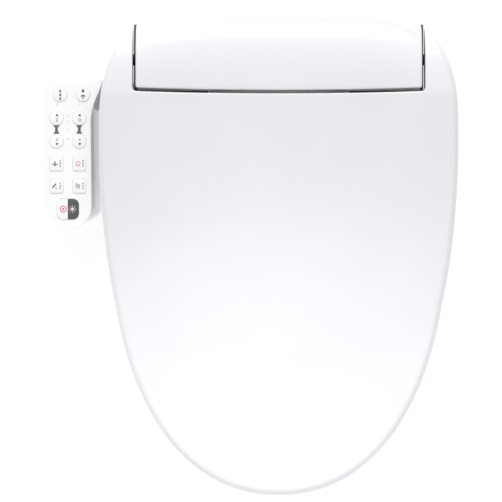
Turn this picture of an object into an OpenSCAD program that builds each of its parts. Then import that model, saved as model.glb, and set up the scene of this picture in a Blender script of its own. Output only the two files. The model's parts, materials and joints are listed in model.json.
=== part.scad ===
/* [Overall] */
// Length over the lid and the housing, front to rear
seat_length = 518; // [500:1:535]
// Width over the widest part of the lid
lid_width = 381; // [370:1:392]
// Rear face of the housing, from the line between the two fixing bolts
rear_y = 48; // [47:1:50]

/* [Hinge] */
// Hinge line, behind (+) or in front of (-) the fixing bolts
hinge_y = -8; // [-9:0.5:-7]
// Hinge line above the bowl
hinge_z = 62; // [61:0.5:64]
// Radius of the two damper shafts that carry the seat and the lid
shaft_r = 6; // [5:0.5:7]
// Running clearance round each shaft
shaft_gap = 0.05; // [0.02:0.01:0.08]
// Radius of the damper barrels
damper_r = 12; // [10:0.5:13]
// Radius of the seat's ears
ear_r = 15; // [13:0.5:16]
// Thickness of the seat's ears
ear_t = 7; // [5:0.5:7]

/* [Housing] */
// Half the width of the rear housing
housing_half = 150.3; // [148:0.1:151]
// Wall of the housing shells
wall = 2.8; // [2:0.1:3.2]
// Underside of the housing skirt, above the bowl
skirt_z = 4; // [3:0.5:5]
// Underside of the tray's floor
floor_z = 13; // [13:0.5:15]
// Thickness of the tray's floor
floor_t = 3; // [2:0.5:3]
// Height of the joint between tray and cover
split_z = 40; // [40:0.5:42]
// Front face of the housing
front_y = -41; // [-42:0.5:-40]

/* [Lid] */
// Wall of the lid
lid_wall = 3.5; // [2.5:0.1:4]
// Gap between housing and lid, seen from above
seam = 3.8; // [3:0.1:4.5]
// Height of the lid's top at the seam
lid_rear_z = 109.9; // [109:0.1:112]
// Height of the lid's top at the front
lid_front_z = 58; // [56:0.5:62]
// Height of the lid's rim at the front
lid_rim_z = 44; // [43:0.5:46]
// Thickness of the walls beside the housing
lid_cheek = 2.5; // [2:0.1:3]

/* [Seat] */
// Distance from the lid's outline in to the seat's outline
seat_inset = 6; // [5:0.5:8]
// Underside of the seat ring
seat_bottom = 12; // [10:0.5:14]
// Top of the seat ring at the rear
seat_rear_z = 58; // [56:0.5:59]
// Top of the seat ring at the front
seat_front_z = 44; // [42:0.5:45]
// Rear edge of the seat ring
seat_rear_y = -66; // [-68:0.5:-65]
// Wall of the seat shells
seat_wall = 3; // [2:0.1:3.5]
// Joint between the two seat shells
seat_split = 30; // [28:0.5:32]
// Half the width of the opening
hole_half = 107; // [100:1:112]
// Rear end of the opening
hole_rear_y = -108; // [-112:1:-107]
// Front end of the opening
hole_front_y = -396; // [-400:1:-385]

/* [Control panel] */
// Top face of the panel
panel_z = 57; // [56:0.5:60]
// Thickness of the panel's cover
panel_t = 3; // [2:0.5:3]
// Width of the panel
panel_width = 49.8; // [49:0.1:52]
// Distance from the widest part of the lid to the panel
panel_gap = 9.2; // [8.5:0.1:10.5]
// Gap between the lid's outline and the panel's rear corner
flare_gap = 2.17; // [2:0.01:2.5]
// Front end of the panel
panel_front = -187; // [-192:1:-184]
// Distance from the panel's right side to the centre line of the two columns of keys
key_inset = 24; // [23.3:0.1:24.8]
// Distance between the two columns of keys
key_pitch = 24.2; // [23:0.1:25]
// Radius of the round keys
key_r = 7.3; // [6:0.1:7.6]
// Gap round each key
key_gap = 0.35; // [0.3:0.01:0.5]
// Travel of a key
key_travel = 0.8; // [0.4:0.1:0.9]
// Height of a key above the panel
key_proud = 1; // [0.9:0.1:1.5]

/* [Nozzle] */
// Slope of the nozzle below the level
nozzle_tilt = 25; // [24:0.5:26]
// Radius of the nozzle wand
wand_r = 6.5; // [5.5:0.1:7]
// Length of the wand from tip to carriage
wand_l = 100; // [96:1:104]
// Travel of the wand
wand_travel = 82; // [60:1:84]
// Running clearance of the wand and its screw
slide_gap = 0.05; // [0.02:0.01:0.08]
// Radius of the feed screw
screw_r = 3; // [2.5:0.1:3.5]
// Distance from the wand to the feed screw
screw_x = 16; // [15.5:0.5:17]

/* [Dryer] */
// Outer radius of the fan housing
fan_r = 26; // [24:0.5:26]
// Width of the fan housing
fan_w = 26; // [22:1:28]
// Radius of the impeller
impeller_r = 20; // [16:0.5:21]
// Number of blades
blades = 14; // [8:1:20]

/* [Water] */
// Outer radius of the G1/2 inlet thread
inlet_r = 10.48; // [10.4:0.01:10.6]
// Length of the inlet nipple
inlet_l = 24; // [20:1:26]
// Place of the inlet, to the right of the centre
inlet_x = 92; // [91:0.5:93]

/* [Mounting] */
// Distance between the two fixing bolts
bolt_pitch = 140; // [136:1:144]
// Radius of the bolt slots
slot_r = 4.5; // [4:0.1:5]
// Length of the bolt slots
slot_l = 30; // [20:1:32]
// Half the width of the mounting bracket
bracket_half = 96; // [95:1:98]
// Travel of the release button
release_travel = 4; // [3:0.1:4]

/* [Hidden] */
$fn = 64;
half_w = lid_width / 2;
tip_y = rear_y - seat_length;
panel_right = -half_w - panel_gap;
panel_left = panel_right - panel_width;
key_x = panel_right - key_inset;
keys = [
  ["button_rear", "round", 0, -44.5], ["button_front", "round", 1, -44.5],
  ["button_temp_up", "round", 0, -69.4], ["button_force_up", "round", 1, -69.4],
  ["button_temp_down", "round", 0, -93.9], ["button_force_down", "round", 1, -93.9],
  ["button_seat", "square", 0, -117.7], ["button_power", "square", 1, -117.7],
  ["button_clean", "square", 0, -141.5], ["button_dry", "square", 1, -141.5],
  ["button_stop", "left", 0.5, -166.1], ["button_light", "right", 0.5, -166.1]
];

// plain helpers
function bez(p, t) = pow(1 - t, 3) * p[0] + 3 * pow(1 - t, 2) * t * p[1] + 3 * (1 - t) * t * t * p[2]
  + pow(t, 3) * p[3];
function curve(p, n) = [for (i = [0 : n - 1]) bez(p, i / n)];
function arc(c, r, a0, a1, n) = [for (i = [0 : n]) let (a = a0 + (a1 - a0) * i / n) c + r * [cos(a), sin(a)]];
function flip(pts) = [for (i = [len(pts) - 1 : -1 : 0]) [-pts[i][0], pts[i][1]]];
// moves each point of a clockwise outline inwards by d
function inset(pts, d) = let (n = len(pts)) [for (i = [0 : n - 1])
  let (t = pts[(i + 1) % n] - pts[(i + n - 1) % n]) pts[i] + d * [t[1], -t[0]] / norm(t)];

// point of the plan: across as a share of the half width, back as a share of the length
function plan_point(u, v) = [u * half_w, rear_y - v * seat_length];
right_side = concat(
  curve([plan_point(0, 0), plan_point(0.3, 0), plan_point(0.515, 0.001), plan_point(0.658, 0.0116)], 5),
  curve([plan_point(0.658, 0.0116), plan_point(0.83, 0.029), plan_point(0.962, 0.085),
         plan_point(0.99, 0.193)], 8),
  curve([plan_point(0.99, 0.193), plan_point(1.004, 0.276), plan_point(0.999, 0.459),
         plan_point(0.907, 0.61)], 7),
  curve([plan_point(0.907, 0.61), plan_point(0.815, 0.822), plan_point(0.526, 1), plan_point(0, 1)], 10));
function without_first(p) = [for (i = [1 : len(p) - 1]) p[i]];
outline = concat(right_side, [[0, tip_y]], flip(without_first(right_side)));

module plan(pts, z0, z1) { translate([0, 0, z0]) linear_extrude(z1 - z0) polygon(pts); }
// a profile in the YZ plane, between two places along X
module side(pts, x0, x1) { translate([x0, 0, 0]) rotate([90, 0, 90]) linear_extrude(x1 - x0) polygon(pts); }
module box(a, b) { translate(a) cube(b - a); }
module rod(r, x0, x1, y = hinge_y, z = hinge_z) {
  translate([x0, y, z]) rotate([0, 90, 0]) cylinder(r = r, h = x1 - x0);
}
module both() { children(); mirror([1, 0, 0]) children(); }

// housing: profile of the tray and of the cover, shrunk by d
module housing_form(z0, z1, d, zd) {
  top = concat(
    curve([[rear_y - d, hinge_z], [rear_y - d, hinge_z + 33 - zd], [15, 116 - zd * 1.35],
           [front_y + d, lid_rear_z - 2.7 - zd]], 14),
    [[front_y + d, lid_rear_z - 2.7 - zd], [front_y + d, 0], [rear_y - d, 0]]);
  intersection() {
    plan(inset(outline, d), z0, z1);
    side(top, -housing_half + d, housing_half - d);
  }
}
snout_half = 74;
snout_rear_z = 56;
snout_front_z = 28;
snout_front_y = -98;
snout_floor_z = skirt_z;
niche_half = 16;
niche_y = 20;
niche_top = 38;
screw_places = [[137, 24], [141, -26]];
foot_places = [[121, -29], [121, 28]];
boss_r = 5;
rocker_x = 120;
rocker_y = 5;
latch_y = [8, 15.5];
button_y = [-12, 2];
conduit_y = [-60, -31];
conduit_z = [6, 26];

module base_tray() {
  color([0.93, 0.93, 0.93])
  difference() {
    union() {
      difference() {
        housing_form(skirt_z, split_z, 0, 0);
        housing_form(floor_z + floor_t, split_z + 1, wall, 0);
        housing_form(skirt_z - 1, floor_z, wall, 0);
        // front window for the nozzle and the air duct
        box([-snout_half + wall, front_y - 1, floor_z + floor_t + 0.5],
            [snout_half - wall, front_y + wall + 1, split_z + 1]);
      }
      // niche round the water inlet
      intersection() {
        housing_form(skirt_z, split_z, 0, 0);
        box([inlet_x - niche_half - wall, niche_y - wall, skirt_z],
            [inlet_x + niche_half + wall, rear_y, split_z]);
      }
      // saddles under the dampers
      both() box([118, hinge_y - 8, floor_z + floor_t - 1], [128, hinge_y + 8, hinge_z - 6]);
      // posts that hold the main board
      for (x = [-90, -30]) box([x - 3, 37, floor_z + floor_t - 1], [x + 3, 43, 47]);
      // pivot of the release rocker
      translate([rocker_x, rocker_y, 8.5]) cylinder(r = 2, h = floor_z - 8);
    }
    box([inlet_x - niche_half, niche_y, 0], [inlet_x + niche_half, rear_y + 1, niche_top]);
    translate([inlet_x, niche_y - wall - 1, 24]) rotate([-90, 0, 0]) cylinder(r = 8, h = wall + 2);
    both() rod(damper_r, 110, 140);
    both() for (p = screw_places) translate([p[0], p[1], 0]) cylinder(r = 2.1, h = 30);
    // slot that holds the board's lower edge
    box([-102, 39, 45], [30, 40.6, 48]);
    // window of the release button, and of the panel's cables
    box([housing_half - wall - 1, button_y[0] - 0.4, 5.6], [housing_half + 1, button_y[1] + 0.4, 12.4]);
    box([-housing_half - 1, front_y + wall, floor_z + floor_t + 0.5],
        [-housing_half + wall + 1, harness_y + 1.5, conduit_z[1] - wall]);
    // hole for the cord gland
    translate([gland_place[0], gland_place[1] - 3, gland_place[2]]) rotate([-90, 0, 0]) cylinder(r = 5, h = 30);
  }
}

module rear_cover() {
  color([0.96, 0.96, 0.97])
  difference() {
    union() {
      difference() {
        housing_form(split_z, 130, 0, 0);
        housing_form(split_z - 1, 130, wall, wall);
        box([-snout_half + wall, front_y - 1, split_z - 1],
            [snout_half - wall, front_y + wall + 1, snout_rear_z - wall]);
      }
      intersection() {
        housing_form(floor_z + floor_t, 130, 0, 0);
        both() for (p = screw_places) translate([p[0], p[1], floor_z + floor_t]) cylinder(r = boss_r, h = 90);
      }
    }
    both() for (p = screw_places) translate([p[0], p[1], 0]) cylinder(r = 1.95, h = 31);
    both() rod(shaft_r + 0.3, housing_half - wall - 1, housing_half + 1);
    // the bosses stand clear of the tray's walls
    difference() {
      box([-160, -60, floor_z + floor_t - 1], [160, 60, split_z]);
      both() for (p = screw_places) translate([p[0], p[1], 0]) cylinder(r = boss_r + 1, h = 60);
    }
    difference() {
      both() for (p = screw_places) translate([p[0], p[1], floor_z])
        cylinder(r = boss_r + 1, h = split_z - floor_z);
      housing_form(0, split_z + 1, wall + 0.2, 0);
    }
  }
}

module case_screws() {
  color([0.7, 0.7, 0.72]) both() for (p = screw_places) translate([p[0], p[1], 0]) {
    translate([0, 0, 10]) cylinder(r = 3.8, h = floor_z - 10);
    cylinder_between(1.9, 10.5, 29);
  }
}
module cylinder_between(r, z0, z1) { translate([0, 0, z0]) cylinder(r = r, h = z1 - z0); }

module base_feet() {
  color([0.3, 0.3, 0.32]) both() for (p = foot_places) translate([p[0], p[1], 0]) {
    cylinder_between(8, 0, floor_z);
  }
}

module slot(l, r, z0, z1) {
  for (s = [-1, 1]) translate([s * (l / 2 - r), 0, 0]) cylinder_between(r, z0, z1);
  box([-l / 2 + r, -r, z0], [l / 2 - r, r, z1]);
}
bracket_y = [-34, 14];
bracket_t = 12;
module mounting_bracket() {
  color([0.55, 0.56, 0.58])
  difference() {
    box([-bracket_half, bracket_y[0], 0], [bracket_half, bracket_y[1], bracket_t]);
    both() translate([bolt_pitch / 2, 0, 0]) {
      slot(slot_l, slot_r, -1, bracket_t + 1);
      slot(slot_l + 10, 10, 5, bracket_t + 1);
    }
    // weight-saving windows
    both() box([12, -26, -1], [40, 6, bracket_t + 1]);
    // notch for the latch
    box([bracket_half - 6, latch_y[0] - 0.5, -1], [bracket_half + 1, bracket_y[1] + 1, bracket_t + 1]);
  }
}

rocker_half = 12;
rocker_t = 5;
rocker_gap = 0.5;
module release_rocker() {
  color([0.6, 0.6, 0.62])
  difference() {
    translate([rocker_x, rocker_y, 8.7]) {
      translate([-rocker_t / 2, -rocker_half, 0]) cube([rocker_t, 2 * rocker_half, 3.6]);
      cylinder(r = 4.5, h = 3.6);
    }
    translate([rocker_x, rocker_y, 0]) cylinder(r = 2.05, h = 20);
  }
}
module release_button() {
  color([0.75, 0.76, 0.78]) {
    box([housing_half - 9, button_y[0], 6], [housing_half + release_travel, button_y[1], 12]);
    box([rocker_x + rocker_t / 2 + rocker_gap, rocker_y - 10.5, 8.7],
        [housing_half - 8, rocker_y - 9, 12]);
  }
}
module release_latch() {
  color([0.6, 0.6, 0.62]) {
    box([bracket_half - 5, latch_y[0], 4.5], [rocker_x + 6, latch_y[1], 8]);
    box([rocker_x + rocker_t / 2 + rocker_gap, rocker_y + 9, 7], [rocker_x + 6, rocker_y + 10.5, 12]);
  }
}

gland_place = [-118, 36, 26];
module cord_gland() {
  color([0.35, 0.35, 0.37]) translate(gland_place) rotate([-90, 0, 0]) difference() {
    union() {
      cylinder(r = 5, h = 8);
      cylinder(r = 7, h = 3);
    }
    translate([0, 0, -1]) cylinder(r = 3.2, h = 12);
  }
}

ear_x = 159;
boss_x = 167;
boss_out = 173.5;
shaft_end = 172.4;
module damper(name_side) {
  color([0.25, 0.26, 0.28]) mirror([name_side < 0 ? 1 : 0, 0, 0]) {
    rod(damper_r, 110, 140);
    rod(damper_r - 3, 140, housing_half - wall);
    rod(shaft_r, housing_half - wall, shaft_end);
  }
}
module seat_damper() { damper(-1); }
module lid_damper() { damper(1); }

// seat ring
seat_slope = (seat_rear_z - seat_front_z) / (seat_rear_y - tip_y - seat_inset);
function seat_top(y) = seat_rear_z + (y - seat_rear_y) * seat_slope;
bridge_half = 80;
bridge_z = 46;
bridge_y = -114;
hole = concat(
  curve([[0, hole_rear_y], [hole_half * 0.62, hole_rear_y], [hole_half, hole_rear_y - 45],
         [hole_half, hole_rear_y - 120]], 7),
  curve([[hole_half, hole_rear_y - 120], [hole_half, hole_front_y + 80],
         [hole_half * 0.6, hole_front_y], [0, hole_front_y]], 8));
hole_loop = concat(hole, [[0, hole_front_y]], flip(without_first(hole)));

module seat_form(d) {
  difference() {
    intersection() {
      plan(inset(outline, seat_inset + d), seat_bottom + d, 80);
      side([[seat_rear_y - d, 0], [seat_rear_y - d, seat_top(seat_rear_y - d) - d],
            [tip_y, seat_top(tip_y) - d], [tip_y, 0]], -half_w - 10, half_w + 10);
    }
    plan(inset(hole_loop, -d), 0, 90);
    box([-bridge_half - d, bridge_y - d, 0], [bridge_half + d, 0, bridge_z + d]);
  }
}
module seat_bottom_shell() {
  color([0.95, 0.95, 0.95]) difference() {
    seat_form(0);
    seat_form(seat_wall);
    box([-half_w - 30, -600, seat_split], [half_w + 30, 100, 120]);
  }
}
module seat_arm(x) {
  difference() {
    union() {
      rod(ear_r, x, x + ear_t);
      side([[hinge_y, hinge_z + ear_r - 1], [hinge_y, hinge_z - ear_r + 5],
            [seat_rear_y - 10, seat_split + 8], [seat_rear_y - 10, seat_top(seat_rear_y - 10)],
            [seat_rear_y, seat_top(seat_rear_y)]], x, x + ear_t);
    }
    rod(shaft_r + shaft_gap, x - 1, x + ear_t + 1);
  }
}
module seat_top_shell() {
  color([0.97, 0.97, 0.97]) {
    difference() {
      seat_form(0);
      seat_form(seat_wall);
      box([-half_w - 30, -600, -10], [half_w + 30, 100, seat_split]);
    }
    both() seat_arm(ear_x);
  }
}
module seat_heater() {
  color([0.75, 0.55, 0.35]) intersection() {
    difference() {
      plan(inset(outline, seat_inset + 16), 20, 80);
      plan(inset(hole_loop, -14), 0, 90);
    }
    side([[-130, seat_top(-130) - seat_wall - 0.1], [-440, seat_top(-440) - seat_wall - 0.1],
          [-440, seat_top(-440) - seat_wall - 0.9], [-130, seat_top(-130) - seat_wall - 0.9]],
         -half_w - 10, half_w + 10);
  }
}
module seat_sensor() {
  color([0.2, 0.45, 0.3])
    box([120, -250, seat_bottom + seat_wall], [150, -222, seat_bottom + seat_wall + 2]);
}
seat_pad_places = [[130, -135], [86, -392]];
module seat_bumpers() {
  color([0.85, 0.85, 0.84]) both() for (p = seat_pad_places) translate([p[0], p[1], 0]) {
    cylinder_between(10, 0, seat_bottom);
  }
}

// lid: profile of its top, from the rear of the arms to the front
arm_rear_y = 24;
arm_z = 56;
lid_rear_y = front_y - seam;
function lid_top(d) = concat(
  curve([[arm_rear_y - d, arm_z], [arm_rear_y + 4 - d, 92 - d], [10, 113 - d], [lid_rear_y, lid_rear_z - d]], 10),
  curve([[lid_rear_y, lid_rear_z - d], [lid_rear_y - 130, lid_rear_z - 20 - d],
         [tip_y + 140, lid_front_z + 6 - d], [tip_y, lid_front_z - d]], 12));
module lid_form(d) {
  intersection() {
    plan(inset(outline, d), 0, 130);
    side(concat(lid_top(d), [[tip_y, lid_front_z - d], [tip_y, d > 0 ? 0 : lid_rim_z],
                             [seat_rear_y, d > 0 ? 0 : arm_z], [arm_rear_y - d, d > 0 ? 0 : arm_z]]),
         -half_w - 30, half_w + 30);
  }
}
notch_half = housing_half + seam;
module lid_shell() {
  color([0.98, 0.98, 0.99])
  difference() {
    union() {
      difference() {
        lid_form(0);
        difference() {
          lid_form(lid_wall);
          both() box([notch_half - 1, lid_rear_y - 14, 0], [notch_half + lid_cheek, rear_y, 130]);
        }
      }
      both() difference() {
        rod(10, boss_x, boss_out);
        box([boss_x - 1, hinge_y - 20, hinge_z + 40], [boss_out + 1, hinge_y + 20, hinge_z + 60]);
      }
      both() intersection() {
        lid_form(0);
        box([boss_x, hinge_y - 14, arm_z], [200, hinge_y + 12, 130]);
      }
    }
    box([-notch_half, lid_rear_y, -1], [notch_half, rear_y + 10, 130]);
    both() rod(shaft_r + shaft_gap, boss_x - 1, shaft_end + 0.4);
    both() rod(shaft_r + 2, notch_half - 1, notch_half + lid_cheek + 1);
  }
}
lid_pad_places = [[120, -150], [92, -380]];
lid_pad_gap = 0.3;
module lid_bumpers() {
  color([0.85, 0.85, 0.84]) both() for (p = lid_pad_places) intersection() {
    translate([p[0], p[1], 0]) cylinder_between(6, 0, 130);
    side(concat(lid_top(lid_wall), [[tip_y, lid_front_z - lid_wall],
         [tip_y, seat_top(tip_y) + lid_pad_gap], [arm_rear_y, seat_top(arm_rear_y) + lid_pad_gap]]), 0, 200);
  }
}

// water side
module water_inlet() {
  color([0.75, 0.76, 0.78]) translate([inlet_x, niche_y, 24]) rotate([-90, 0, 0]) difference() {
    union() {
      cylinder(r = inlet_r, h = inlet_l);
      cylinder(r = 13, h = 4, $fn = 6);
      translate([0, 0, -wall]) cylinder(r = 7.9, h = wall + 1);
    }
    translate([0, 0, -wall - 1]) cylinder(r = 5, h = inlet_l + wall + 2);
    translate([0, 0, inlet_l - 8]) cylinder(r = 7, h = 9);
  }
}
module inlet_filter() {
  color([0.3, 0.5, 0.7]) translate([inlet_x, niche_y, 24]) rotate([-90, 0, 0])
    translate([0, 0, inlet_l - 8]) difference() {
      cylinder(r = 6.9, h = 5);
      for (a = [0 : 60 : 300]) rotate([0, 0, a]) translate([3.6, 0, -1]) cylinder(r = 1.2, h = 7);
    }
}
valve_x = [82, 102];
hose_r = 2.5;
hose_y = 10;
hose_z = 21.5;
module valve_body() {
  color([0.3, 0.32, 0.36]) difference() {
    box([valve_x[0], -10, 17.5], [valve_x[1], niche_y - wall, 37]);
    translate([inlet_x, 4, 24]) rotate([-90, 0, 0]) cylinder(r = 5, h = 30);
    rod(hose_r + 0.05, valve_x[0] - 1, inlet_x, hose_y, hose_z);
  }
}
module solenoid_coil() {
  color([0.7, 0.45, 0.2]) translate([inlet_x, 2, 37]) {
    cylinder(r = 9.5, h = 22);
    translate([0, 0, 22]) cylinder(r = 4, h = 4);
  }
}
tank = [[-100, -28, 18], [-46, 30, 66]];
module heater_tank() {
  color([0.86, 0.84, 0.78]) difference() {
    box(tank[0], tank[1]);
    box(tank[0] + [3, 3, 3], tank[1] + [-3, -3, 1]);
    rod(hose_r + 0.05, tank[1][0] - 4, tank[1][0] + 1, hose_y, hose_z);
  }
}
module tank_lid() {
  color([0.8, 0.78, 0.72]) {
    box([tank[0][0], tank[0][1], tank[1][2]], [tank[1][0], tank[1][1], tank[1][2] + 4]);
    translate([-73, 1, tank[1][2] + 3]) cylinder(r = 8, h = 6);
  }
}
module water_hose() {
  color([0.9, 0.9, 0.86]) difference() {
    rod(hose_r, tank[1][0] - 3, inlet_x - 3, hose_y, hose_z);
    rod(hose_r - 1, tank[1][0] - 4, inlet_x, hose_y, hose_z);
  }
}

// nozzle: frame with u from the tip to the rear along the wand, and w square to it
tip_place = [0, -92, 16];
module along_nozzle() {
  translate(tip_place) rotate([nozzle_tilt, 0, 0]) children();
}
module u_rod(r, u0, u1, x = 0) { translate([x, u0, 0]) rotate([-90, 0, 0]) cylinder(r = r, h = u1 - u0); }
carriage_u = [wand_l, wand_l + 12];
bush_u = [carriage_u[0] - wand_travel - 8, carriage_u[0] - wand_travel];
screw_u = [bush_u[0], carriage_u[1] + 6];
module nozzle_snout() {
  color([0.94, 0.94, 0.94]) difference() {
    side([[front_y, snout_floor_z], [front_y, snout_rear_z], [snout_front_y, snout_front_z],
          [snout_front_y, snout_floor_z]], -snout_half, snout_half);
    side([[front_y + 1, snout_floor_z + wall], [front_y + 1, snout_rear_z - wall + 0.4],
          [snout_front_y + wall, snout_front_z - wall + 1.2],
          [snout_front_y + wall, snout_floor_z + wall]], -snout_half + wall, snout_half - wall);
    along_nozzle() u_rod(wand_r + 2, -30, 20);
    box([38, snout_front_y - 1, 9], [62, snout_front_y + wall + 1, 21]);
    translate([-40, snout_front_y - 1, 15]) rotate([-90, 0, 0]) cylinder(r = 5.05, h = 10);
  }
}
module nozzle_cradle() {
  color([0.8, 0.8, 0.82]) {
    difference() {
      union() {
        along_nozzle() {
          box([-12, 10, -11.5], [screw_x + 8, screw_u[1] + 2, -9]);
          box([-12, bush_u[0], -11], [screw_x + 8, bush_u[1], wand_r + 1.7]);
          box([-12, screw_u[1] - 3, -11], [screw_x + 8, screw_u[1] + 2, -wand_r]);
          box([screw_x - 5, screw_u[1] - 3, -11], [screw_x + 5, screw_u[1] + 2, 5]);
        }
        intersection() {
          for (y = [-6, 16]) box([-12, y, floor_z + floor_t], [12, y + 4, 70]);
          along_nozzle() box([-20, 0, -90], [20, 160, -10]);
        }
      }
      along_nozzle() {
        u_rod(wand_r + slide_gap, 0, 30);
        u_rod(screw_r + slide_gap, bush_u[0] + 2, 160, screw_x);
      }
    }
  }
}
module nozzle_wand() {
  color([0.9, 0.9, 0.92]) along_nozzle() difference() {
    u_rod(wand_r, 14, carriage_u[0]);
    u_rod(3, 13, carriage_u[0] + 1);
  }
}
module nozzle_tip() {
  color([0.75, 0.8, 0.85]) along_nozzle() difference() {
    union() {
      u_rod(wand_r, 2, 14);
      translate([0, 2, 0]) sphere(r = wand_r - 0.02);
    }
    for (u = [3, 7, 11]) translate([0, u, 2]) cylinder(r = 0.8, h = 8);
  }
}
module nozzle_carriage() {
  color([0.85, 0.85, 0.85]) along_nozzle() difference() {
    box([-9, carriage_u[0], -8.6], [screw_x + 6, carriage_u[1], 8.5]);
    u_rod(screw_r + slide_gap, carriage_u[0] - 1, carriage_u[1] + 1, screw_x);
    u_rod(2, carriage_u[0] - 1, carriage_u[1] + 1);
  }
}
module feed_screw() {
  color([0.7, 0.7, 0.72]) along_nozzle() {
    u_rod(screw_r, bush_u[0] + 3, screw_u[1] + 3, screw_x);
  }
}
module nozzle_motor() {
  color([0.5, 0.5, 0.53]) along_nozzle() difference() {
    u_rod(11, screw_u[1] + 2, screw_u[1] + 15, screw_x);
    u_rod(screw_r + slide_gap, screw_u[1] + 1, screw_u[1] + 3.2, screw_x);
  }
}

// warm air dryer
fan_x = [36, 36 + fan_w];
fan_c = [5, 50];
module fan_housing() {
  color([0.3, 0.31, 0.33]) difference() {
    union() {
      rod(fan_r, fan_x[0], fan_x[1], fan_c[0], fan_c[1]);
      box([fan_x[0], -25, 24], [fan_x[1], 0, 44]);
    }
    rod(fan_r - 2, fan_x[0] + 2, fan_x[1] - 2, fan_c[0], fan_c[1]);
    box([fan_x[0] + 2, -26, 26], [fan_x[1] - 2, -4, 42]);
    rod(10, fan_x[0] - 1, fan_x[0] + 3, fan_c[0], fan_c[1]);
    rod(2.2, fan_x[1] - 3, fan_x[1] + 1, fan_c[0], fan_c[1]);
  }
}
module fan_impeller() {
  color([0.2, 0.2, 0.22]) difference() {
    union() {
      rod(impeller_r, fan_x[1] - 5, fan_x[1] - 3.5, fan_c[0], fan_c[1]);
      rod(4.5, fan_x[0] + 6, fan_x[1] - 4, fan_c[0], fan_c[1]);
      for (i = [0 : blades - 1]) translate([0, fan_c[0], fan_c[1]]) rotate([i * 360 / blades, 0, 0])
        translate([fan_x[0] + 4, 0, impeller_r - 6]) rotate([25, 0, 0]) translate([0, -0.6, 0])
          cube([fan_w - 8.5, 1.2, 5.4]);
    }
    rod(2.05, fan_x[0] + 8, fan_x[1] + 1, fan_c[0], fan_c[1]);
  }
}
module fan_motor() {
  color([0.55, 0.56, 0.6]) {
    rod(11, fan_x[1], fan_x[1] + 13, fan_c[0], fan_c[1]);
    rod(2, fan_x[0] + 10, fan_x[1] + 1, fan_c[0], fan_c[1]);
  }
}
duct_x = [39, 60];
module duct_form(d, ends) {
  side([[-25 + ends, 26 + d], [-25 + ends, 42 - d], [snout_front_y + wall - ends, 21 - d],
        [snout_front_y + wall - ends, 9 + d]], duct_x[0] + d, duct_x[1] - d);
}
module dryer_duct() {
  color([0.25, 0.26, 0.28]) difference() {
    duct_form(0, 0);
    duct_form(1.5, 1);
  }
}
module dryer_heater() {
  color([0.8, 0.5, 0.3]) intersection() {
    duct_form(1.5, 1);
    union() {
      for (i = [0 : 5]) box([duct_x[0] + 3 + 3 * i, -62, 0], [duct_x[0] + 3.8 + 3 * i, -50, 60]);
      box([duct_x[0], -57, 26.5], [duct_x[1], -55, 28.5]);
    }
  }
}
module dryer_grille() {
  color([0.88, 0.88, 0.88]) {
    difference() {
      box([38.3, snout_front_y, 9.3], [61.7, snout_front_y + wall, 20.7]);
      box([40.3, snout_front_y - 1, 10.8], [59.7, snout_front_y + wall + 1, 19.2]);
    }
    for (i = [0 : 2]) box([40, snout_front_y, 12.3 + 2.2 * i], [60, snout_front_y + wall, 13.1 + 2.2 * i]);
  }
}

// electrics
module main_board() {
  color([0.1, 0.45, 0.25]) box([-100, 39.1, 46], [28, 40.5, 68]);
}
module board_parts() {
  color([0.2, 0.2, 0.22]) {
    for (x = [-96, -60, -45]) box([x, 34, 52], [x + 9, 39.1, 64]);
    for (x = [-80, -72, -30]) translate([x, 36.5, 56]) cylinder(r = 2.5, h = 9);
    for (x = [-80, -72, -30]) box([x - 2, 37, 56], [x + 2, 39.1, 64]);
    box([-22, 33, 50], [-4, 39.1, 62]);
  }
}
module night_light() {
  color([0.8, 0.9, 1]) translate([-40, snout_front_y, 15]) rotate([-90, 0, 0]) cylinder(r = 5, h = 6);
}
harness_y = -34.7;
module panel_harness() {
  color([0.15, 0.15, 0.17]) for (r = [0, 1]) {
    path = [[-103.5, 38, 52 - 6 * r], [-109, 36, 30 - 5 * r], [-109, harness_y - 2 * r, 21],
            [-155, harness_y - 2 * r, 19], [panel_right - 5.3, -44 - 3 * r, 14],
            [panel_right - 15.3, -60, 30 + 4 * r]];
    for (i = [0 : len(path) - 2]) thread(path[i], path[i + 1], 0.9);
  }
}
module thread(a, b, r) {
  d = b - a;
  translate(a) {
    rotate([0, acos(d[2] / norm(d)), atan2(d[1], d[0])]) cylinder(r = r, h = norm(d), $fn = 8);
    sphere(r = r, $fn = 8);
  }
}

// control panel
// half width of the outline at y, near its widest part
function outline_x(y) = let (p = right_side) max([for (i = [0 : len(p) - 2])
  if (p[i][1] >= y && p[i + 1][1] < y)
    p[i][0] + (p[i + 1][0] - p[i][0]) * (p[i][1] - y) / (p[i][1] - p[i + 1][1])]);
flare_y = -29;
flare = outline_x(flare_y) + flare_gap;
panel_outline = concat(
  curve([[panel_right, -72], [panel_right + 0.5, -52], [-flare - 3.6, flare_y - 17], [-flare, flare_y]], 6),
  [[-flare, flare_y]],
  arc([panel_left + 13, flare_y - 13], 13, 90, 175, 6),
  curve([[panel_left, -46], [panel_left - 0.5, -90], [panel_left + 0.5, -120], [panel_left + 2.5, -160]], 4),
  arc([(panel_left + panel_right) / 2 + 1.5, panel_front + 24.5], 24.5, 185, 355, 16));
panel_plan = [for (i = [len(panel_outline) - 1 : -1 : 0]) panel_outline[i]];
module panel_case() {
  color([0.95, 0.95, 0.95]) difference() {
    union() {
      plan(panel_plan, conduit_z[0], panel_z - panel_t);
      box([panel_right - 2, conduit_y[0], conduit_z[0]], [-housing_half, conduit_y[1], conduit_z[1]]);
    }
    plan(inset(panel_plan, wall), conduit_z[0] + wall, panel_z);
    box([panel_right - 10, conduit_y[0] + wall, conduit_z[0] + wall],
        [-housing_half + 1, conduit_y[1] - wall, conduit_z[1] - wall]);
  }
}
function key_place(k) = [key_x + (k[2] - 0.5) * key_pitch + (k[3] > -50 ? 3.9 : 0), k[3]];
square_half = [6.9, 7.5];
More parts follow.
